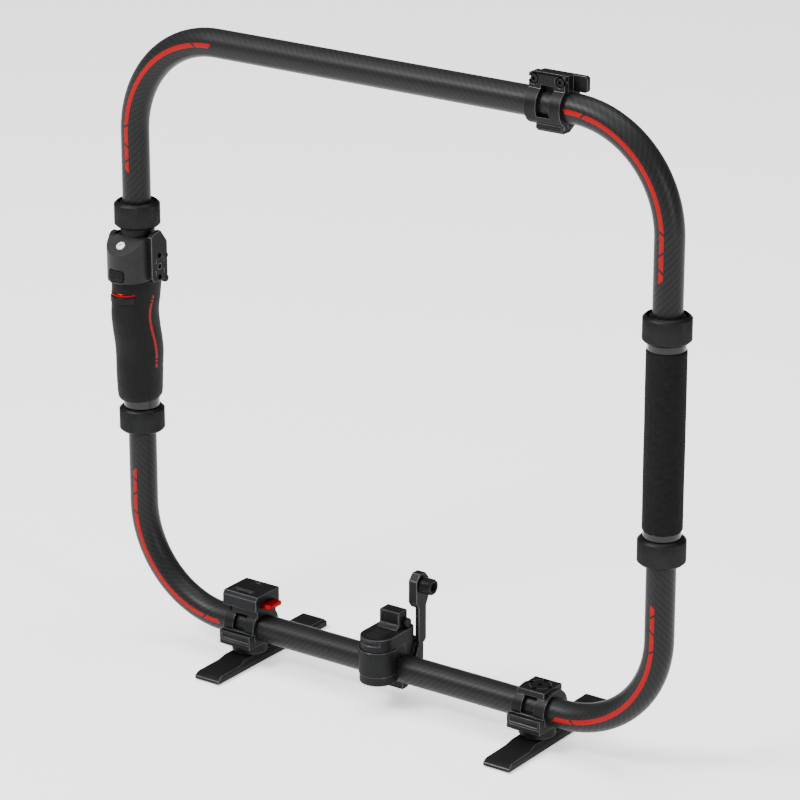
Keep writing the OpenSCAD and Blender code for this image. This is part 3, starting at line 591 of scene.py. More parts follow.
def pill(stops, half_x, half_z, corner, axis, radius, sides=56):
    """A rounded rectangle on an upright cylinder's front. A stop is an inset and a height off it."""
    def where(stop, turn):
        inset, height = stop
        turn += math.pi / sides
        rest = max(corner - inset, 0.02 * MM)
        x = math.copysign(half_x - max(corner, inset), math.cos(turn)) + rest * math.cos(turn)
        z = math.copysign(half_z - max(corner, inset), math.sin(turn)) + rest * math.sin(turn)
        around = x / radius
        return axis + Vector(((radius + height) * math.sin(around), -(radius + height) * math.cos(around), z))

    return rings(stops, sides, where)


def slab(columns, rows, where):
    """A closed slab from a grid; where() places a vertex from its column and row, -1 to 1, and its side."""
    bm = bmesh.new()
    bmesh.ops.create_grid(bm, x_segments=columns, y_segments=rows, size=1.0)
    made = bmesh.ops.extrude_face_region(bm, geom=bm.faces[:])["geom"]
    bmesh.ops.translate(bm, vec=(0, 0, 1), verts=verts_in(made))
    for v in bm.verts:
        v.co = where(v.co.x, v.co.y, v.co.z > 0.5)
    return bm


def moved(bm, matrix):
    bmesh.ops.transform(bm, matrix=matrix, verts=bm.verts)
    return bm


def joined(parts):
    """One bmesh from several."""
    whole = bmesh.new()
    for bm in parts:
        mesh = bpy.data.meshes.new("part")
        bm.to_mesh(mesh)
        bm.free()
        whole.from_mesh(mesh)
        bpy.data.meshes.remove(mesh)
    return whole


def block(corner, opposite, edge=0.0):
    """A box between two corners, with its edges rounded."""
    bm = bmesh.new()
    bmesh.ops.create_cube(bm, size=1.0)
    corner, opposite = Vector(corner), Vector(opposite)
    bmesh.ops.scale(bm, vec=opposite - corner, verts=bm.verts)
    bmesh.ops.translate(bm, vec=(corner + opposite) / 2, verts=bm.verts)
    if edge:
        bmesh.ops.bevel(bm, geom=bm.edges[:], offset=edge, segments=2, profile=0.5, affect="EDGES",
                        material=-1, clamp_overlap=True)
    return bm


# ---- carbon tubes and stripes ----

def ring_place(x, z):
    """Distance along the ring from mid-top, and the outward direction, for a point beside it."""
    corner = sizes().corner_radius
    side = 1 if x >= 0 else -1
    across, up = abs(x) - (HALF_W - corner), z - (HALF_H - corner)
    if across <= 0:
        return x, Vector((0, 0, 1))
    if up <= 0:
        return side * (HALF_W - corner + corner * math.pi / 2 - up), Vector((side, 0, 0))
    turn = math.atan2(across, up)
    return side * (HALF_W - corner + corner * turn), Vector((side * math.sin(turn), 0, math.cos(turn)))


def lay_weave(bm, tows):
    """Writes the weave's coordinates, in tows along and round the tube, to a UV map."""
    corner = sizes().corner_radius
    layer = bm.loops.layers.uv.new("weave")
    pitch = math.tau * TUBE_R / tows
    for face in bm.faces:
        places = []
        for loop in face.loops:
            p = loop.vert.co
            along, out = ring_place(p.x, p.z)
            centre = Vector((math.copysign(min(abs(p.x), HALF_W - corner), p.x), 0, 0))
            if out.x and not out.z:
                off = abs(p.x) - HALF_W
            elif out.z == 1 and not out.x:
                off = p.z - HALF_H
            else:
                off = (Vector((p.x, 0, p.z)) - centre - Vector((0, 0, HALF_H - corner))).length - corner
            places.append([along, math.atan2(p.y, off)])
        if max(t for _, t in places) - min(t for _, t in places) > math.pi:
            for place in places:
                place[1] += math.tau if place[1] < 0 else 0
        for loop, (along, turn) in zip(face.loops, places):
            loop[layer].uv = (along / pitch, turn * tows / math.tau)


def half_ring(sides=72, steps=40):
    """The upper half of the ring, bent from one tube, with its ends plugged."""
    corner = sizes().corner_radius
    bm = bmesh.new()
    rim = bmesh.ops.create_circle(bm, cap_ends=True, segments=sides, radius=TUBE_R)["verts"]
    bmesh.ops.translate(bm, vec=(HALF_W, 0, LEG_LOW), verts=rim)
    bmesh.ops.delete(bm, geom=bm.faces[:], context="FACES_ONLY")

    def push(geom, vec, spread=1):
        for _ in range(spread):
            verts = verts_in(bmesh.ops.extrude_edge_only(bm, edges=edges_in(geom))["geom"])
            bmesh.ops.translate(bm, vec=Vector(vec) / spread, verts=verts)
            geom = list({e for v in verts for e in v.link_edges if e.other_vert(v) in verts})
        return geom

    def bend(geom, side):
        made = bmesh.ops.spin(bm, geom=geom, cent=(side * (HALF_W - corner), 0, HALF_H - corner),
                              axis=(0, -1, 0), angle=math.pi / 2, steps=steps, use_merge=False,
                              use_duplicate=False)["geom_last"]
        return edges_in(made)

    leg = HALF_H - corner - LEG_LOW
    level = push(bm.edges[:], (0, 0, leg), 4)
    level = bend(level, 1)
    level = push(level, (-2 * (HALF_W - corner), 0, 0), 8)
    level = bend(level, -1)
    push(level, (0, 0, -leg), 4)
    for plug in (1, -1):
        edge = [e for e in boundary(bm) if e.verts[0].co.x * plug > 0]
        bmesh.ops.contextual_create(bm, geom=edge)
    return bm


def corner_stripe(marks, width, lift=0.00012, steps=48):
    """One corner's red stripe in the upper right corner, cut into dashes by slanted gaps."""
    corner = sizes().corner_radius
    start, end, margin = 4.0 * MM, 60.0 * MM, 6.0 * MM
    strip = bmesh.new()
    reach = width / 2 / TUBE_R
    bmesh.ops.create_grid(strip, x_segments=1, y_segments=6, size=0.5)
    bmesh.ops.delete(strip, geom=[v for v in strip.verts if v.co.x > 0], context="VERTS")
    for v in strip.verts:
        turn = v.co.y * 2 * reach
        v.co = (HALF_W - corner - start, -(TUBE_R + lift) * math.cos(turn),
                HALF_H + (TUBE_R + lift) * math.sin(turn))

    def push(vec):
        verts = set(last)
        edges = [e for e in strip.edges if set(e.verts) <= verts]
        made = bmesh.ops.extrude_edge_only(strip, edges=edges)["geom"]
        verts = verts_in(made)
        bmesh.ops.translate(strip, vec=vec, verts=verts)
        return verts

    last = strip.verts[:]
    last = push((start, 0, 0))
    ends = set(last)
    edges = [e for e in strip.edges if set(e.verts) <= ends]
    made = bmesh.ops.spin(strip, geom=edges, cent=(HALF_W - corner, 0, HALF_H - corner), axis=(0, 1, 0),
                          angle=math.pi / 2, steps=steps, use_merge=False, use_duplicate=False)["geom_last"]
    last = verts_in(made)
    push((0, 0, -end))
    bmesh.ops.remove_doubles(strip, verts=strip.verts, dist=WELD)

    def on_path(distance, slant):
        """The cutting plane across the stripe at a distance along it from the start of the bend."""
        if distance < 0:
            point = Vector((HALF_W - corner + distance, 0, HALF_H))
            ahead, out = Vector((1, 0, 0)), Vector((0, 0, 1))
        elif distance < corner * math.pi / 2:
            turn = distance / corner
            out = Vector((math.sin(turn), 0, math.cos(turn)))
            ahead = Vector((math.cos(turn), 0, -math.sin(turn)))
            point = Vector((HALF_W - corner, 0, HALF_H - corner)) + out * corner
        else:
            down = distance - corner * math.pi / 2
            point = Vector((HALF_W, 0, HALF_H - corner - down))
            ahead, out = Vector((0, 0, -1)), Vector((1, 0, 0))
        return point, (ahead * math.cos(slant) + out * math.sin(slant)).normalized()

    dashes = []
    for (begin, begin_slant), (stop, stop_slant) in marks:
        dash = strip.copy()
        # the plane is only true near its own place, so far parts of the strip go first
        for distance, slant, keep_after in ((begin, begin_slant, True), (stop, stop_slant, False)):
            point, across = on_path(distance, 0.0)
            rough = point + across * (-margin if keep_after else margin)
            for place, normal in ((rough, across), (point, on_path(distance, slant)[1])):
                geom = dash.verts[:] + dash.edges[:] + dash.faces[:]
                bmesh.ops.bisect_plane(dash, geom=geom, plane_co=place, plane_no=normal,
                                       clear_inner=keep_after, clear_outer=not keep_after)
        dashes.append(dash)
    strip.free()
    return joined(dashes)


class GRIP_OT_tubes(bpy.types.Operator):
    """Bends the two carbon tubes and lays their weave"""
    bl_idname = "ring_grip.tubes"
    bl_label = "Carbon Tubes"

    def execute(self, context):
        for node, flip in (("upper_tube", 1), ("lower_tube", -1)):
            bm = half_ring()
            bmesh.ops.remove_doubles(bm, verts=bm.verts, dist=WELD)
            lay_weave(bm, sizes().tow_count)
            moved(bm, Matrix.Translation((0, RING_Y, RING_Z)) @ Matrix.Diagonal((1, 1, flip, 1)))
            stand_in(node + "_carbon", bm, node, "carbon")
        return {"FINISHED"}


class GRIP_OT_stripes(bpy.types.Operator):
    """Prints the red stripes round the four corners"""
    bl_idname = "ring_grip.stripes"
    bl_label = "Corner Stripes"

    def execute(self, context):
        corner = sizes().corner_radius
        bend = corner * math.pi / 2
        slant, gap = math.radians(38), 1.1 * MM
        first_gap = corner * math.radians(10)
        long_end = corner * math.radians(85.3)
        below = bend + (HALF_H - corner)
        second, third, last = below - 161.5 * MM, below - 147.5 * MM, below - 138.5 * MM
        marks = [
            ((-1.5 * MM, slant), (first_gap - gap, -slant)),
            ((first_gap + gap, -slant), (long_end - gap, -slant)),
            ((long_end + gap, -slant), (second - gap, slant)),
            ((second + gap, slant), (third - gap, -slant)),
            ((third + gap, -slant), (last, slant)),
        ]
        for body, flip, up in (("upper_frame", 1, "upper"), ("lower_frame", -1, "lower")):
            for side, across in ((-1, "left"), (1, "right")):
                bm = corner_stripe(marks, sizes().stripe_width)
                moved(bm, Matrix.Translation((0, RING_Y, RING_Z)) @ Matrix.Diagonal((side, 1, flip, 1)))
                if side * flip < 0:
                    bmesh.ops.reverse_faces(bm, faces=bm.faces)
                piece(f"{up}_{across}_stripe", bm, body, "red_print", 60.0, False)
        return {"FINISHED"}


# ---- collars, cores and the foam grip ----

def knurled_collar(node, flip):
    bore = CORE_R + 0.05 * MM
    bevel, rim, rim_depth = 2.4 * MM, COLLAR_R - 3.2 * MM, 3.3 * MM
    soft = 0.35 * MM
    profile = [
        (bore, 0), (COLLAR_R - bevel - soft, 0), (COLLAR_R - bevel, 0.15 * MM),
        (COLLAR_R - 0.5 * MM, bevel - 0.5 * MM), (COLLAR_R, bevel, "knurl"),
        (COLLAR_R, COLLAR_H - bevel, "knurl"), (COLLAR_R - 0.5 * MM, COLLAR_H - bevel + 0.5 * MM),
        (COLLAR_R - bevel, COLLAR_H - 0.15 * MM), (COLLAR_R - bevel - soft, COLLAR_H),
        (rim, COLLAR_H), (rim, COLLAR_H - rim_depth), (bore, COLLAR_H - rim_depth),
    ]
    bm = turned(profile, sizes().ridge_count * 4, sizes().ridge_depth)
    centre = middle(node)
    start = low(node)[2] if flip > 0 else high(node)[2]
    moved(bm, Matrix.Translation((centre.x, centre.y, start)) @ Matrix.Diagonal((1, 1, flip, 1)))
    stand_in(node + "_knurled", bm, node, "knurled_metal", 40.0)


class GRIP_OT_collars(bpy.types.Operator):
    """Knurls the four collars and finishes the cores and collets"""
    bl_idname = "ring_grip.collars"
    bl_label = "Collars and Cores"

    def execute(self, context):
        for side in ("left", "right"):
            knurled_collar(side + "_top_collar", 1)
            knurled_collar(side + "_bottom_collar", -1)
            machined(side + "_core", 0.15 * MM)
            machined(side + "_collets", 0.12 * MM)
        machined("grip_neck", 0.2 * MM)
        return {"FINISHED"}


class GRIP_OT_foam(bpy.types.Operator):
    """Makes the foam grip and its glossy end rings"""
    bl_idname = "ring_grip.foam"
    bl_label = "Foam Grip"

    def execute(self, context):
        bottom, top = low("foam_grip")[2], high("foam_grip")[2]
        outer = (high("foam_grip")[0] - low("foam_grip")[0]) / 2
        inner, length = CORE_R + 0.02 * MM, top - bottom
        profile = [(inner, 0), (outer - 1.5 * MM, 0)]
        for turn in (20, 45, 70, 90):
            a = math.radians(turn)
            profile.append((outer - 1.6 * MM + 1.5 * MM * math.sin(a), 1.6 * MM * (1 - math.cos(a))))
        stops = 44
        for k in range(1, stops):
            share = k / stops
            arch = math.sin(math.pi * share)
            swell = 0.10 * arch + 0.035 * math.sin(17 * share + 1.0) * arch
            profile.append((outer - (0.13 - swell) * MM, 1.6 * MM + (length - 3.2 * MM) * share))
        for turn in (90, 70, 45, 20):
            a = math.radians(turn)
            profile.append((outer - 1.6 * MM + 1.5 * MM * math.sin(a), length - 1.6 * MM * (1 - math.cos(a))))
        profile += [(outer - 1.5 * MM, length), (inner, length)]
        bm = turned(profile, 96)
        for v in bm.verts:
            turn = math.atan2(v.co.y, v.co.x)
            give = 1 + 0.0022 * math.sin(3 * turn + v.co.z * 70) * (v.co.xy.length > inner + 1.5 * MM)
            v.co.x *= give
            v.co.y *= give
        moved(bm, Matrix.Translation((RIGHT.x, RIGHT.y, bottom)))
        foam = stand_in("foam_sleeve", bm, "foam_grip", "foam", 60.0)
        machined("right_end_rings", 0.5 * MM)
        machined("grip_end_ring", 0.5 * MM)
        return {"FINISHED"}


# ---- control grip ----

# Height, how far the sides and then the front and back stand off the core, and the middle's offset, in mm
GRIP_SECTIONS = [
    (-72, 2.1, 5.0, -1.5), (-69.5, 3.7, 7.0, -1.5), (-60, 4.3, 8.0, -1.6), (-45, 4.5, 8.8, -1.5),
    (-31, 4.8, 9.3, -1.0), (-20, 4.5, 9.5, -1.9), (-6, 3.9, 10.0, -4.4), (8, 3.5, 10.5, -6.0),
    (20, 3.7, 11.3, -4.6), (30, 3.9, 11.7, -3.4), (40.8, 4.0, 11.5, -3.0),
]


def smooth_between(stops, at):
    """Catmull-Rom value of the stops, each a place and its values, at a place."""
    last = len(stops) - 1
    k = max(i for i in range(last) if stops[i][0] <= at or i == 0)
    before, here, there, after = (stops[min(max(k + i, 0), last)] for i in (-1, 0, 1, 2))
    t = (at - here[0]) / (there[0] - here[0])
    wide = there[0] - here[0]
    values = []
    for a, b, c, d in zip(before[1:], here[1:], there[1:], after[1:]):
        slope_b = (c - a) / (there[0] - before[0]) * wide
        slope_c = (d - b) / (after[0] - here[0]) * wide
        values.append((2 * t**3 - 3 * t**2 + 1) * b + (t**3 - 2 * t**2 + t) * slope_b
                      + (3 * t**2 - 2 * t**3) * c + (t**3 - t**2) * slope_c)
    return values


def grip_oval(height):
    """Half width, half depth and middle of the control grip at a height, in metres about its axis."""
    side, front, offset = smooth_between(GRIP_SECTIONS, height)
    return CORE_R + side * MM, CORE_R + front * MM, offset * MM


def grip_surface(y, height):
    """How far out the grip's right side lies at a place, about its axis."""
    half_x, half_y, offset = grip_oval(height)
    return half_x * math.sqrt(max(0.0, 1 - ((y - offset) / half_y) ** 2))


def on_front(x, height, proud):
    """A point a little off the grip's front, about its axis."""
    half_x, half_y, offset = grip_oval(height)
    return Vector((x, offset - (half_y + proud) * math.sqrt(1 - (x / (half_x + proud)) ** 2), height * MM))


def loft_grip():
    """The rubber sleeve, closed by its bore."""
    bottom, top = GRIP_SECTIONS[0][0], GRIP_SECTIONS[-1][0]
    heights = [bottom, bottom + 0.35, bottom + 1.2]
    heights += [bottom + 2.5 + (top - bottom - 3.3) * k / 60 for k in range(61)] + [top]

    def where(height, turn):
        half_x, half_y, offset = grip_oval(height)
        return half_x * math.cos(turn), offset + half_y * math.sin(turn), height * MM

    bm = rings(heights, 112, where)
    for z in (bottom, top):
        ring = [e for e in boundary(bm) if all(abs(v.co.z - z * MM) < 0.01 * MM for v in e.verts)]
        made = bmesh.ops.extrude_edge_only(bm, edges=ring)["geom"]
        for v in verts_in(made):
            turn = math.atan2(v.co.y, v.co.x)
            v.co.x, v.co.y = CORE_R * math.cos(turn), CORE_R * math.sin(turn)
    bmesh.ops.bridge_loops(bm, edges=boundary(bm))
    return bm


def sink_slot(bm, node, room, depth):
    """Sinks a slot for a key into the front of a lofted piece about the control grip's axis."""
    lowest, highest = Vector(low(node)) - LEFT, Vector(high(node)) - LEFT
    z0, z1, x = lowest.z - room, highest.z + room, highest.x + room
    for place, normal in (((0, 0, z0), (0, 0, 1)), ((0, 0, z1), (0, 0, 1)), ((x, 0, 0), (1, 0, 0)),
                          ((-x, 0, 0), (1, 0, 0))):
        bmesh.ops.bisect_plane(bm, geom=bm.verts[:] + bm.edges[:] + bm.faces[:], plane_co=place,
                               plane_no=normal)
    front = [f for f in bm.faces if z0 < f.calc_center_median().z < z1
             and abs(f.calc_center_median().x) < x and f.calc_center_median().y < -CORE_R - 2 * MM]
    made = bmesh.ops.extrude_face_region(bm, geom=front)["geom"]
    bmesh.ops.delete(bm, geom=front, context="FACES")
    bmesh.ops.translate(bm, vec=(0, depth, 0), verts=verts_in(made))


def side_stripe():
    """The grip's curved red stripe with its dashes, as thin film on the right side."""
    path = [(27, -2.2), (21.1, -4.5), (19, -5.5), (12.8, -7.4), (8.1, -7.8), (1.3, -7.2), (-6.9, -5.5),
            (-16.1, -3.0), (-24.2, -1.6), (-31.9, -1.4), (-42, -1.7)]
    path = [(-z, y) for z, y in path]
    dashes = [(-25.6, -23.4), (-22.3, -20.2), (-19.2, 33.2), (34.4, 36.4), (37.6, 41.2)]
    parts = []
    for begin, end in dashes:
        bm = bmesh.new()
        long_ways = max(3, round((end - begin) * 1.5))
        bmesh.ops.create_grid(bm, x_segments=4, y_segments=long_ways, size=0.5)
        for v in bm.verts:
            share = v.co.y + 0.5
            across = v.co.x * sizes().stripe_width * 0.72
            down = begin + (end - begin) * share + across / MM * 0.35
            y = smooth_between(path, down)[0] * MM + across
            v.co = (grip_surface(y, -down) + 0.06 * MM, y, -down * MM)
        parts.append(bm)
    return joined(parts)


class GRIP_OT_control_grip(bpy.types.Operator):
    """Lofts the control grip's rubber and adds its stripe, trigger and red band"""
    bl_idname = "ring_grip.control_grip"
    bl_label = "Control Grip"

    def execute(self, context):
        place = Matrix.Translation(LEFT)
        bm = loft_grip()
        bmesh.ops.recalc_face_normals(bm, faces=bm.faces)
        sink_slot(bm, "front_trigger", 0.25 * MM, 7.0 * MM)
        stand_in("grip_rubber_sleeve", moved(bm, place), "grip_rubber", "grip_rubber", 50.0)
        stripe = side_stripe()
        bmesh.ops.reverse_faces(stripe, faces=[f for f in stripe.faces if f.normal.x < 0])
        piece("grip_side_stripe", moved(stripe, place), BODY_OF["grip_rubber"], "red_print", 60.0, False)
        self.trigger(place)
        self.red_band(place)
        return {"FINISHED"}

    def trigger(self, place):
        """The front key, which follows the grip's curve and stands a little proud of it."""
        start, end = Vector(low("front_trigger")) - LEFT, Vector(high("front_trigger")) - LEFT

        def where(across, up, front):
            edge = min(1.0, (1 - abs(across)) * 9, (1 - abs(up)) * 4)
            proud = 0.1 * MM + 0.7 * MM * math.sin(edge * math.pi / 2)
            height = (start.z + (end.z - start.z) * (up + 1) / 2) / MM
            at = on_front(across * (end.x - 0.2 * MM), height, proud)
            return at if front else at + Vector((0, 4.4 * MM, 0))

        key = moved(slab(48, 14, where), place)
        stand_in("trigger_key", key, "front_trigger", "black_metal", 60.0)

    def red_band(self, place):
        """A crescent of red metal above the front key, thinning to both ends."""
        middle_z = (high("red_accent")[2] - RING_Z) / MM - 0.6
        reach = high("red_accent")[0] - LEFT.x - 1.6 * MM

        def where(along, across, front):
            thin = math.sqrt(max(0.0, 1 - along * along)) * 0.96 + 0.04
            proud = 0.15 * MM + 0.5 * MM * thin * math.cos(across * math.pi / 2)
            return on_front(along * reach, middle_z + across * 1.35 * thin, proud if front else -1.0 * MM)

        band = moved(slab(64, 8, where), place)
        stand_in("red_band", band, "red_accent", "red_metal", 50.0)


def on_button_face():
    """The record button's axis: its top centre, with Z pointing out of the sloping face."""
    tilt = Matrix.Rotation(sizes().button_tilt, 4, "X")
    top = middle("record_button") + tilt @ Vector((0, 0, 2.35 * MM))
    return Matrix.Translation(top) @ tilt


class GRIP_OT_control_head(bpy.types.Operator):
    """Finishes the control head with its button, rocker, wheel and side plate"""
    bl_idname = "ring_grip.control_head"
    bl_label = "Control Head"

    def execute(self, context):
        machined("head_housing", 0.55 * MM)
        machined("side_plate", 0.6 * MM)
        self.rocker()
        self.button()
        self.face_slots()
        self.plate_details()
        self.wheel()
        refinish("circuit_board", "battery_cell", "rocker_pin", "wheel_axle")
        return {"FINISHED"}

    def button(self):
        radius = 3.95 * MM
        profile = [
            (radius, -4.1 * MM), (radius, -0.55 * MM), (radius - 0.12 * MM, -0.25 * MM),
            (radius - 0.5 * MM, -0.1 * MM), (radius - 1.0 * MM, -0.08 * MM),
            (radius - 1.15 * MM, -0.28 * MM), (radius - 1.4 * MM, -0.30 * MM),
            (radius - 1.6 * MM, -0.12 * MM), (0.5 * MM, 0.0),
        ]
        cap = moved(turned(profile, 64, closed=False), on_button_face())
        stand_in("record_cap", cap, "record_button", "button_white", 45.0)
        symbol = in_mm((1.0, -0.05), (1.0, 0.06), (0.55, 0.07), (0.55, -0.05))
        symbol = moved(turned(symbol, 32), on_button_face())
        piece("record_symbol", symbol, BODY_OF["record_button"], "recess_dark")
        collar = in_mm((4.25, -0.6), (4.3, -0.05), (4.7, -0.02), (4.85, -0.25), (4.85, -0.8))
        collar = moved(turned(collar, 64), on_button_face() @ Matrix.Translation((0, 0, -1.03 * MM)))
        piece("record_surround", collar, BODY_OF["head_housing"], "gloss_ring", 50.0)

    def face_slots(self):
        """Two short indicator slots beside the button, toed in towards it, as dark blocks just under the
        face: painted shade in the slots.
        """
        parts = []
        for side in (-1, 1):
            slot = block((-0.6 * MM, -1.4 * MM, -1.3 * MM), (0.6 * MM, 1.4 * MM, -1.04 * MM), 0.03 * MM)
            place = Matrix.Translation((side * 7.2 * MM, 0.3 * MM, 0))
            turn = Matrix.Rotation(side * math.radians(25), 4, "Z")
            parts.append(moved(slot, on_button_face() @ place @ turn))
        piece("face_slots", joined(parts), BODY_OF["head_housing"], "recess_dark")

    def rocker(self):
        """The rocker as a rounded key in a rounded surround, with two finger ribs."""
        centre, front = middle("zoom_rocker"), low("zoom_rocker")[1]
        half_x, half_z = 8.15 * MM, 4.85 * MM
        shell, proud = 19.0 * MM, 1.2 * MM
        axis = Vector((centre.x, front + proud + shell, centre.z))
        stops = [(0, -4.0 * MM), (0, proud - 0.7 * MM), (0.25 * MM, proud - 0.25 * MM), (0.8 * MM, proud)]
        stops += [(inset * MM, proud - 0.02 * MM * inset) for inset in (1.6, 2.4, 3.2, 4.0, 4.8)]
        key = pill(stops, half_x, half_z, 3.0 * MM, axis, shell)
        bmesh.ops.holes_fill(key, edges=boundary(key))
        stand_in("rocker_key", key, "zoom_rocker", "grip_rubber", 40.0)
        wide = 2.4 * MM
        rim = [(wide - 0.5 * MM, -3.5 * MM), (wide - 0.5 * MM, -0.4 * MM), (wide - 0.8 * MM, 0.18 * MM),
               (0.5 * MM, 0.06 * MM), (0, -0.3 * MM), (0, -1.5 * MM)]
        surround = pill(rim, half_x + wide, half_z + wide, 3.0 * MM + wide, axis, shell)
        bmesh.ops.bridge_loops(surround, edges=boundary(surround))
        piece("rocker_surround", surround, BODY_OF["head_housing"], "head_shell", 40.0)
        ribs = []
        for height in (-1.9 * MM, 1.9 * MM):
            at = axis + Vector((0, 0, height))
            rib = [(0, proud - 0.4 * MM), (0.12 * MM, proud + 0.3 * MM), (0.5 * MM, proud + 0.45 * MM)]
            bm = pill(rib, 5.6 * MM, 0.8 * MM, 0.78 * MM, at, shell)
            bmesh.ops.holes_fill(bm, edges=boundary(bm))
            ribs.append(bm)
        piece("rocker_ribs", joined(ribs), BODY_OF["zoom_rocker"], "grip_rubber", 60.0)

    def plate_details(self):
        """Threaded inserts in the side plate's holes and the two knobs at its rear edge."""
        face = high("side_plate")[0]
        centre_z = RING_Z + 53 * MM
        ring = in_mm((2.5, -3.6), (2.5, 0.12), (2.75, 0.16), (3.1, 0.05), (3.1, -3.6))
        for place, offset in (("low", -9.75), ("mid", 0), ("high", 9.75)):
            at = facing_x((face, RING_Y, centre_z + offset * MM))
            # the middle insert gets the painted highlight finish, the outer two dark steel
            material = "polished_edge" if offset == 0 else "dark_steel"
            piece("plate_insert_" + place, moved(turned(ring, 40), at), BODY_OF["side_plate"], material)
        knobs = []
        for y, z, radius in ((9.5, 39.5, 3.4), (10.4, 60.5, 2.3)):
            profile = in_mm((radius, -4.4), (radius, -0.7), (radius * 0.86, -0.15),
                            (radius * 0.6, 0.2), (radius * 0.25, 0.3))
            at = facing_x((face, RING_Y + y * MM, RING_Z + z * MM))
            knobs.append(moved(turned(profile, 40, closed=False), at))
        piece("plate_knobs", joined(knobs), BODY_OF["side_plate"], "black_metal", 45.0)

    def wheel(self):
        centre = middle("side_wheel")
        radius = (high("side_wheel")[2] - low("side_wheel")[2]) / 2
        half = (high("side_wheel")[0] - low("side_wheel")[0]) / 2
        profile = [
            (1.25 * MM, -half), (radius - 1.0 * MM, -half), (radius - 0.3 * MM, -half + 0.4 * MM),
            (radius, -half + 0.9 * MM, "knurl"), (radius, half - 0.9 * MM, "knurl"),
            (radius - 0.3 * MM, half - 0.4 * MM), (radius - 1.0 * MM, half), (1.25 * MM, half),
        ]
        wheel = moved(turned(profile, 36 * 4, 0.4 * MM), facing_x(centre))
        stand_in("menu_wheel", wheel, "side_wheel", "knurled_metal", 40.0)


# ---- clamps, feet and the centre mount ----

class GRIP_OT_clamps(bpy.types.Operator):
    """Finishes the tube clamps, the hole plate and their bolts"""
    bl_idname = "ring_grip.clamps"
    bl_label = "Tube Clamps"

    def execute(self, context):
        for node in ("left_clamp_upper", "left_clamp_lower", "right_clamp_upper", "right_clamp_lower",
                     "top_clamp_front", "top_clamp_rear"):
            machined(node)
        machined("hole_plate", 0.6 * MM)
        machined("top_clamp_bolts", 0.25 * MM)
        machined("lower_clamp_bolts", 0.2 * MM)
        for node in ("top_clamp_pin", "lower_clamp_pins"):
            machined(node, 0.3 * MM)
        self.plate_ring()
        return {"FINISHED"}

    def plate_ring(self):
        """The fine ring through the plate's four outer holes, a painted highlight, and the rims of all five.
        """
        top = high("hole_plate")[2]
        centre = middle("hole_plate")
        at = Matrix.Translation((centre.x, centre.y + 1.2 * MM, top))
        ring = in_mm((9.1, -0.1), (9.1, 0.025), (9.5, 0.025), (9.5, -0.1))
        whole = moved(turned(ring, 160), at)
        holes = [Matrix.Rotation(math.radians(90 * turn), 4, "Z") @ Vector((9.3 * MM, 0, 0))
                 for turn in range(4)]
        gone = [v for v in whole.verts
                if any(((at.inverted() @ v.co).xy - hole.xy).length < 2.4 * MM for hole in holes)]
        bmesh.ops.delete(whole, geom=gone, context="VERTS")
        bmesh.ops.holes_fill(whole, edges=boundary(whole))
        piece("plate_ring", whole, BODY_OF["hole_plate"], "bright_mark")
        rims = []
        for place, radius in [((0, 0, 0), 2.55)] + [(tuple(h), 2.25) for h in holes]:
            rim = in_mm((radius, -0.4), (radius + 0.04, 0.02), (radius + 0.32, 0.04), (radius + 0.36, -0.2))
            rims.append(moved(turned(rim, 40), at @ Matrix.Translation(place)))
        piece("plate_rims", joined(rims), BODY_OF["hole_plate"], "dark_steel", 50.0)


class GRIP_OT_quick_release(bpy.types.Operator):
    """Finishes the quick-release block and its ribbed red lever"""
    bl_idname = "ring_grip.quick_release"
    bl_label = "Quick Release"

    def execute(self, context):
        machined("qr_block", 0.5 * MM)
        start, end = Vector(low("qr_lever")), Vector(high("qr_lever"))
        parts = [block(start, end - Vector((0, 0, 0.5 * MM)), 0.5 * MM)]
        ribs = 8
        pitch = (end.y - start.y - 1.6 * MM) / ribs
        outer = end.x - 8.0 * MM
        for k in range(ribs):
            y = start.y + 0.8 * MM + pitch * (k + 0.22)
            far = y + pitch * 0.56
            parts.append(block((outer, y, end.z - 1.0 * MM), (end.x - 0.3 * MM, far, end.z), 0.25 * MM))
            parts.append(block((end.x - 1.0 * MM, y, start.z + 0.6 * MM),
                               (end.x, far, end.z - 0.1 * MM), 0.22 * MM))
        stand_in("red_ribbed_lever", joined(parts), "qr_lever", "red_metal", 45.0)
        top = high("qr_block")[2] - 1.55 * MM
        centre = middle("left_clamp_upper").x
        # dark pads at the ends of the block's top pockets: painted shade in the pockets
        pads = []
        for x in (-8.9, 6.3):
            pads.append(block((centre + (x - 1.7) * MM, RING_Y - 10.9 * MM, top - 0.1 * MM),
                              (centre + (x + 1.7) * MM, RING_Y - 4.7 * MM, top + 0.12 * MM), 0.04 * MM))
        piece("pocket_ends", joined(pads), BODY_OF["qr_block"], "recess_dark")
        refinish("qr_spring", "release_spring")
        return {"FINISHED"}


class GRIP_OT_feet(bpy.types.Operator):
    """Finishes the feet, their pads and their swivels"""
    bl_idname = "ring_grip.feet"
    bl_label = "Feet"

    def execute(self, context):
        for side in ("left", "right"):
            machined(side + "_foot", 0.6 * MM)
            machined(side + "_foot_pads", 0.25 * MM)
        machined("swivel_discs", 0.3 * MM)
        machined("foot_screws", 0.3 * MM)
        return {"FINISHED"}


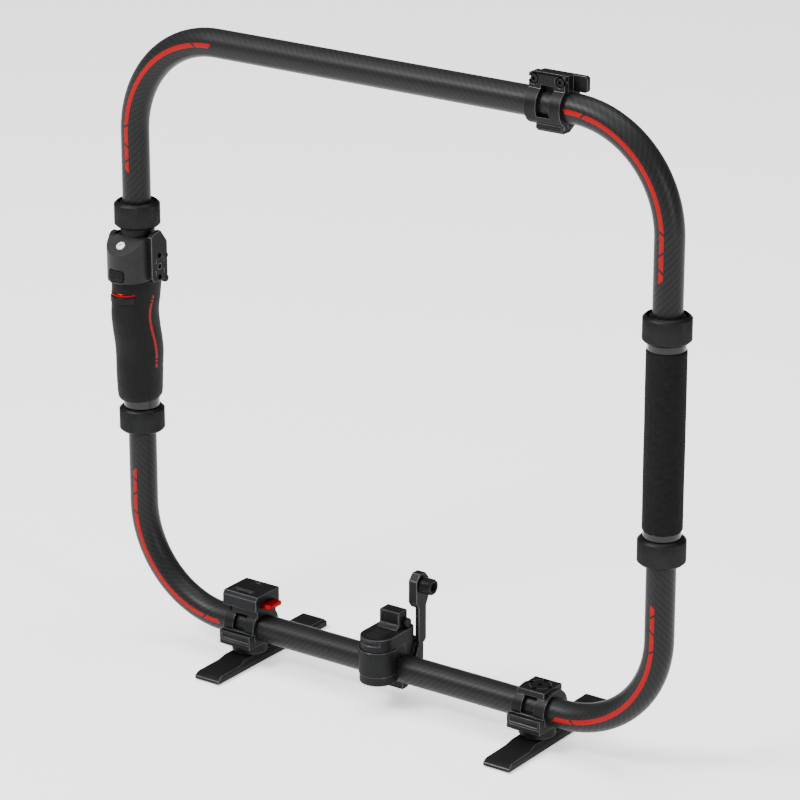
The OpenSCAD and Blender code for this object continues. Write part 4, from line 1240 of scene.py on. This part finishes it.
class GRIP_OT_centre_mount(bpy.types.Operator):
    """Finishes the centre mount, its lock block, arm and screws"""
    bl_idname = "ring_grip.centre_mount"
    bl_label = "Centre Mount"

    def execute(self, context):
        for node in ("mount_cap", "mount_body", "rear_bracket"):
            machined(node, 0.45 * MM)
        machined("mount_plate", 0.7 * MM)
        machined("release_button", 0.5 * MM)
        machined("lock_block", 0.45 * MM, False)
        machined("support_arm", 0.6 * MM)
        for node in ("mount_screws", "arm_screw"):
            machined(node, 0.2 * MM)
        self.plate_inlay()
        self.block_front()
        self.thumbscrew()
        self.block_knob()
        return {"FINISHED"}

    def plate_inlay(self):
        """The thin inset panel in front of the lock block, and the release bar's face."""
        top, centre = high("mount_plate")[2], middle("mount_plate").x
        panel = block((centre - 7.2 * MM, RING_Y - 28.0 * MM, top - 0.3 * MM),
                      (centre + 7.2 * MM, RING_Y - 7.0 * MM, top + 0.12 * MM), 0.1 * MM)
        piece("mount_inlay", panel, BODY_OF["mount_plate"], "grip_rubber")
        front, button = low("release_button")[1], middle("release_button")
        bars = [block((centre + x * MM - 0.35 * MM, front - 0.1 * MM, button.z - 1.3 * MM),
                      (centre + x * MM + 0.35 * MM, front + 1.4 * MM, button.z + 1.3 * MM), 0.1 * MM)
                for x in (-2.4, -1.2, 0, 1.2, 2.4)]
        piece("release_ribs", joined(bars), BODY_OF["release_button"], "black_metal")

    def block_front(self):
        """The dark panel in the lock block's front, with its guide rail."""
        start, end = Vector(low("lock_block")), Vector(high("lock_block"))
        face = RING_Y + 0.1 * MM
        panel = block((start.x + 2.3 * MM, face - 0.35 * MM, start.z + 4.3 * MM),
                      (end.x - 2.3 * MM, face + 0.2 * MM, end.z - 2.7 * MM), 0.15 * MM)
        piece("block_panel", panel, BODY_OF["lock_block"], "grip_rubber")
        rail = [block((start.x + 3.4 * MM, face - 0.5 * MM, start.z + z * MM),
                      (end.x - 3.4 * MM, face + 0.1 * MM, start.z + (z + 0.8) * MM), 0.15 * MM)
                for z in (6.2, 9.6)]
        piece("block_rails", joined(rail), BODY_OF["lock_block"], "black_metal")

    def thumbscrew(self):
        head = high("thumbscrew")[0]
        base = high("support_arm")[0] + 0.3 * MM
        radius = (high("thumbscrew")[2] - low("thumbscrew")[2]) / 2 + 1.3 * MM
        length = head - base
        profile = [
            (3.15 * MM, -length + 0.1 * MM), (radius - 0.7 * MM, -length),
            (radius - 0.1 * MM, -length + 0.6 * MM), (radius, -length + 0.7 * MM, "knurl"),
            (radius, -1.2 * MM, "knurl"), (radius - 0.1 * MM, -1.1 * MM),
            (radius - 0.8 * MM, 0), (5.0 * MM, 0), (4.8 * MM, -0.3 * MM), (4.8 * MM, -4.4 * MM),
        ]
        at = facing_x((head, middle("thumbscrew").y, middle("thumbscrew").z))
        stem = [(3.1 * MM, -length - 0.9 * MM), (3.1 * MM, -4.6 * MM)]
        whole = joined([turned(profile, 44 * 4, 0.45 * MM), turned(stem, 48, closed=False)])
        stand_in("thumbscrew_knob", moved(whole, at), "thumbscrew", "knurled_metal", 40.0)
        # a dark cup in the knob's end: painted shade inside its hex socket
        socket = in_mm((5.0, -0.6), (4.4, -0.45), (4.2, -3.6), (0.15, -3.9), (0.15, -4.3), (5.0, -4.3))
        cup = turned(socket, 6)
        piece("thumbscrew_socket", moved(cup, at), BODY_OF["thumbscrew"], "recess_dark", 30.0)

    def block_knob(self):
        end = high("block_knob")[0]
        base = high("lock_block")[0] + 0.3 * MM
        radius = (high("block_knob")[2] - low("block_knob")[2]) / 2
        length = end - base
        profile = [
            (1.45 * MM, -length - 6.0 * MM), (1.45 * MM, -length), (radius - 0.5 * MM, -length),
            (radius, -length + 0.5 * MM, "knurl"), (radius, -0.7 * MM, "knurl"), (radius - 0.6 * MM, 0),
            (2.3 * MM, 0), (2.1 * MM, -0.35 * MM), (0.4 * MM, -0.4 * MM),
        ]
        at = facing_x((end, middle("block_knob").y, middle("block_knob").z))
        knob = moved(turned(profile, 30 * 4, 0.35 * MM, closed=False), at)
        stand_in("lock_knob", knob, "block_knob", "knurled_metal", 40.0)


# ---- stage ----

def area_light(name, place, target, size, power):
    data = bpy.data.lights.new(name, "AREA")
    data.shape = "RECTANGLE"
    data.size, data.size_y = size
    data.energy = power
    light = bpy.data.objects.new(name, data)
    light.location = place
    light.rotation_euler = (Vector(target) - Vector(place)).to_track_quat("-Z", "Y").to_euler()
    bpy.context.scene.collection.objects.link(light)


class GRIP_OT_stage(bpy.types.Operator):
    """Lays the floor, the studio lights and the camera"""
    bl_idname = "ring_grip.stage"
    bl_label = "Stage"

    def execute(self, context):
        bm = bmesh.new()
        bmesh.ops.create_grid(bm, x_segments=8, y_segments=8, size=15.0)
        mesh = bpy.data.meshes.new("floor")
        bm.to_mesh(mesh)
        bm.free()
        floor = bpy.data.objects.new("floor", mesh)
        mesh.materials.append(finish("studio_floor"))
        context.scene.collection.objects.link(floor)
        middle_of_ring = (0, RING_Y, RING_Z)
        area_light("key", (-1.0, -1.9, 2.3), middle_of_ring, (1.0, 0.8), 95)
        area_light("side", (2.6, -0.9, 1.2), middle_of_ring, (0.6, 1.6), 34)
        area_light("top", (0.2, 0.5, 2.8), middle_of_ring, (1.6, 1.2), 34)
        self.sky_light(context)
        world = bpy.data.worlds.new("studio")
        world.use_nodes = True
        world.node_tree.nodes["Background"].inputs["Color"].default_value = (1, 1, 1, 1)
        world.node_tree.nodes["Background"].inputs["Strength"].default_value = 0.22
        context.scene.world = world
        self.camera(context)
        return {"FINISHED"}

    def sky_light(self, context):
        """A wide soft sun that lights the floor evenly."""
        data = bpy.data.lights.new("sky", "SUN")
        data.energy, data.angle = 3.0, math.radians(60)
        sun = bpy.data.objects.new("sky", data)
        sun.rotation_euler = (math.radians(18), math.radians(-14), 0)
        context.scene.collection.objects.link(sun)

    def camera(self, context):
        """A long lens, up and to the right of the ring's front."""
        azimuth, elevation, distance = math.radians(35.323), math.radians(19.881), 3.09849
        target = Vector((0.01069, RING_Y, RING_Z - 0.01754))
        back = Vector((math.sin(azimuth) * math.cos(elevation), -math.cos(azimuth) * math.cos(elevation),
                       math.sin(elevation)))
        data = bpy.data.cameras.new("camera")
        data.sensor_width, data.lens = 36.0, 165.456
        data.clip_start, data.clip_end = 0.05, 60.0
        camera = bpy.data.objects.new("camera", data)
        camera.location = target + back * distance
        camera.rotation_euler = (-back).to_track_quat("-Z", "Y").to_euler()
        context.scene.collection.objects.link(camera)
        context.scene.camera = camera


# ---- panel and registration ----

OPERATORS = [
    GRIP_OT_tubes, GRIP_OT_stripes, GRIP_OT_collars, GRIP_OT_foam, GRIP_OT_control_grip, GRIP_OT_control_head,
    GRIP_OT_clamps, GRIP_OT_quick_release, GRIP_OT_feet, GRIP_OT_centre_mount, GRIP_OT_stage,
]


class GRIP_PT_panel(bpy.types.Panel):
    """Lists the ring grip's pieces and settings"""
    bl_idname = "GRIP_PT_panel"
    bl_label = "Ring Grip"
    bl_space_type = "VIEW_3D"
    bl_region_type = "UI"
    bl_category = "Ring Grip"

    def draw(self, context):
        for group in (context.scene.grip_sizes, context.scene.grip_colours):
            column = self.layout.column()
            for name in group.__annotations__:
                column.prop(group, name)
        for operator in OPERATORS:
            self.layout.operator(operator.bl_idname)


CLASSES = [GripSizes, GripColours, *OPERATORS, GRIP_PT_panel]


def register():
    for item in CLASSES:
        bpy.utils.register_class(item)
    bpy.types.Scene.grip_sizes = bpy.props.PointerProperty(type=GripSizes)
    bpy.types.Scene.grip_colours = bpy.props.PointerProperty(type=GripColours)


def unregister():
    del bpy.types.Scene.grip_colours
    del bpy.types.Scene.grip_sizes
    for item in reversed(CLASSES):
        bpy.utils.unregister_class(item)


def main():
    register()
    for operator in OPERATORS:
        family, name = operator.bl_idname.split(".")
        getattr(getattr(bpy.ops, family), name)()


if __name__ == "__main__":
    main()
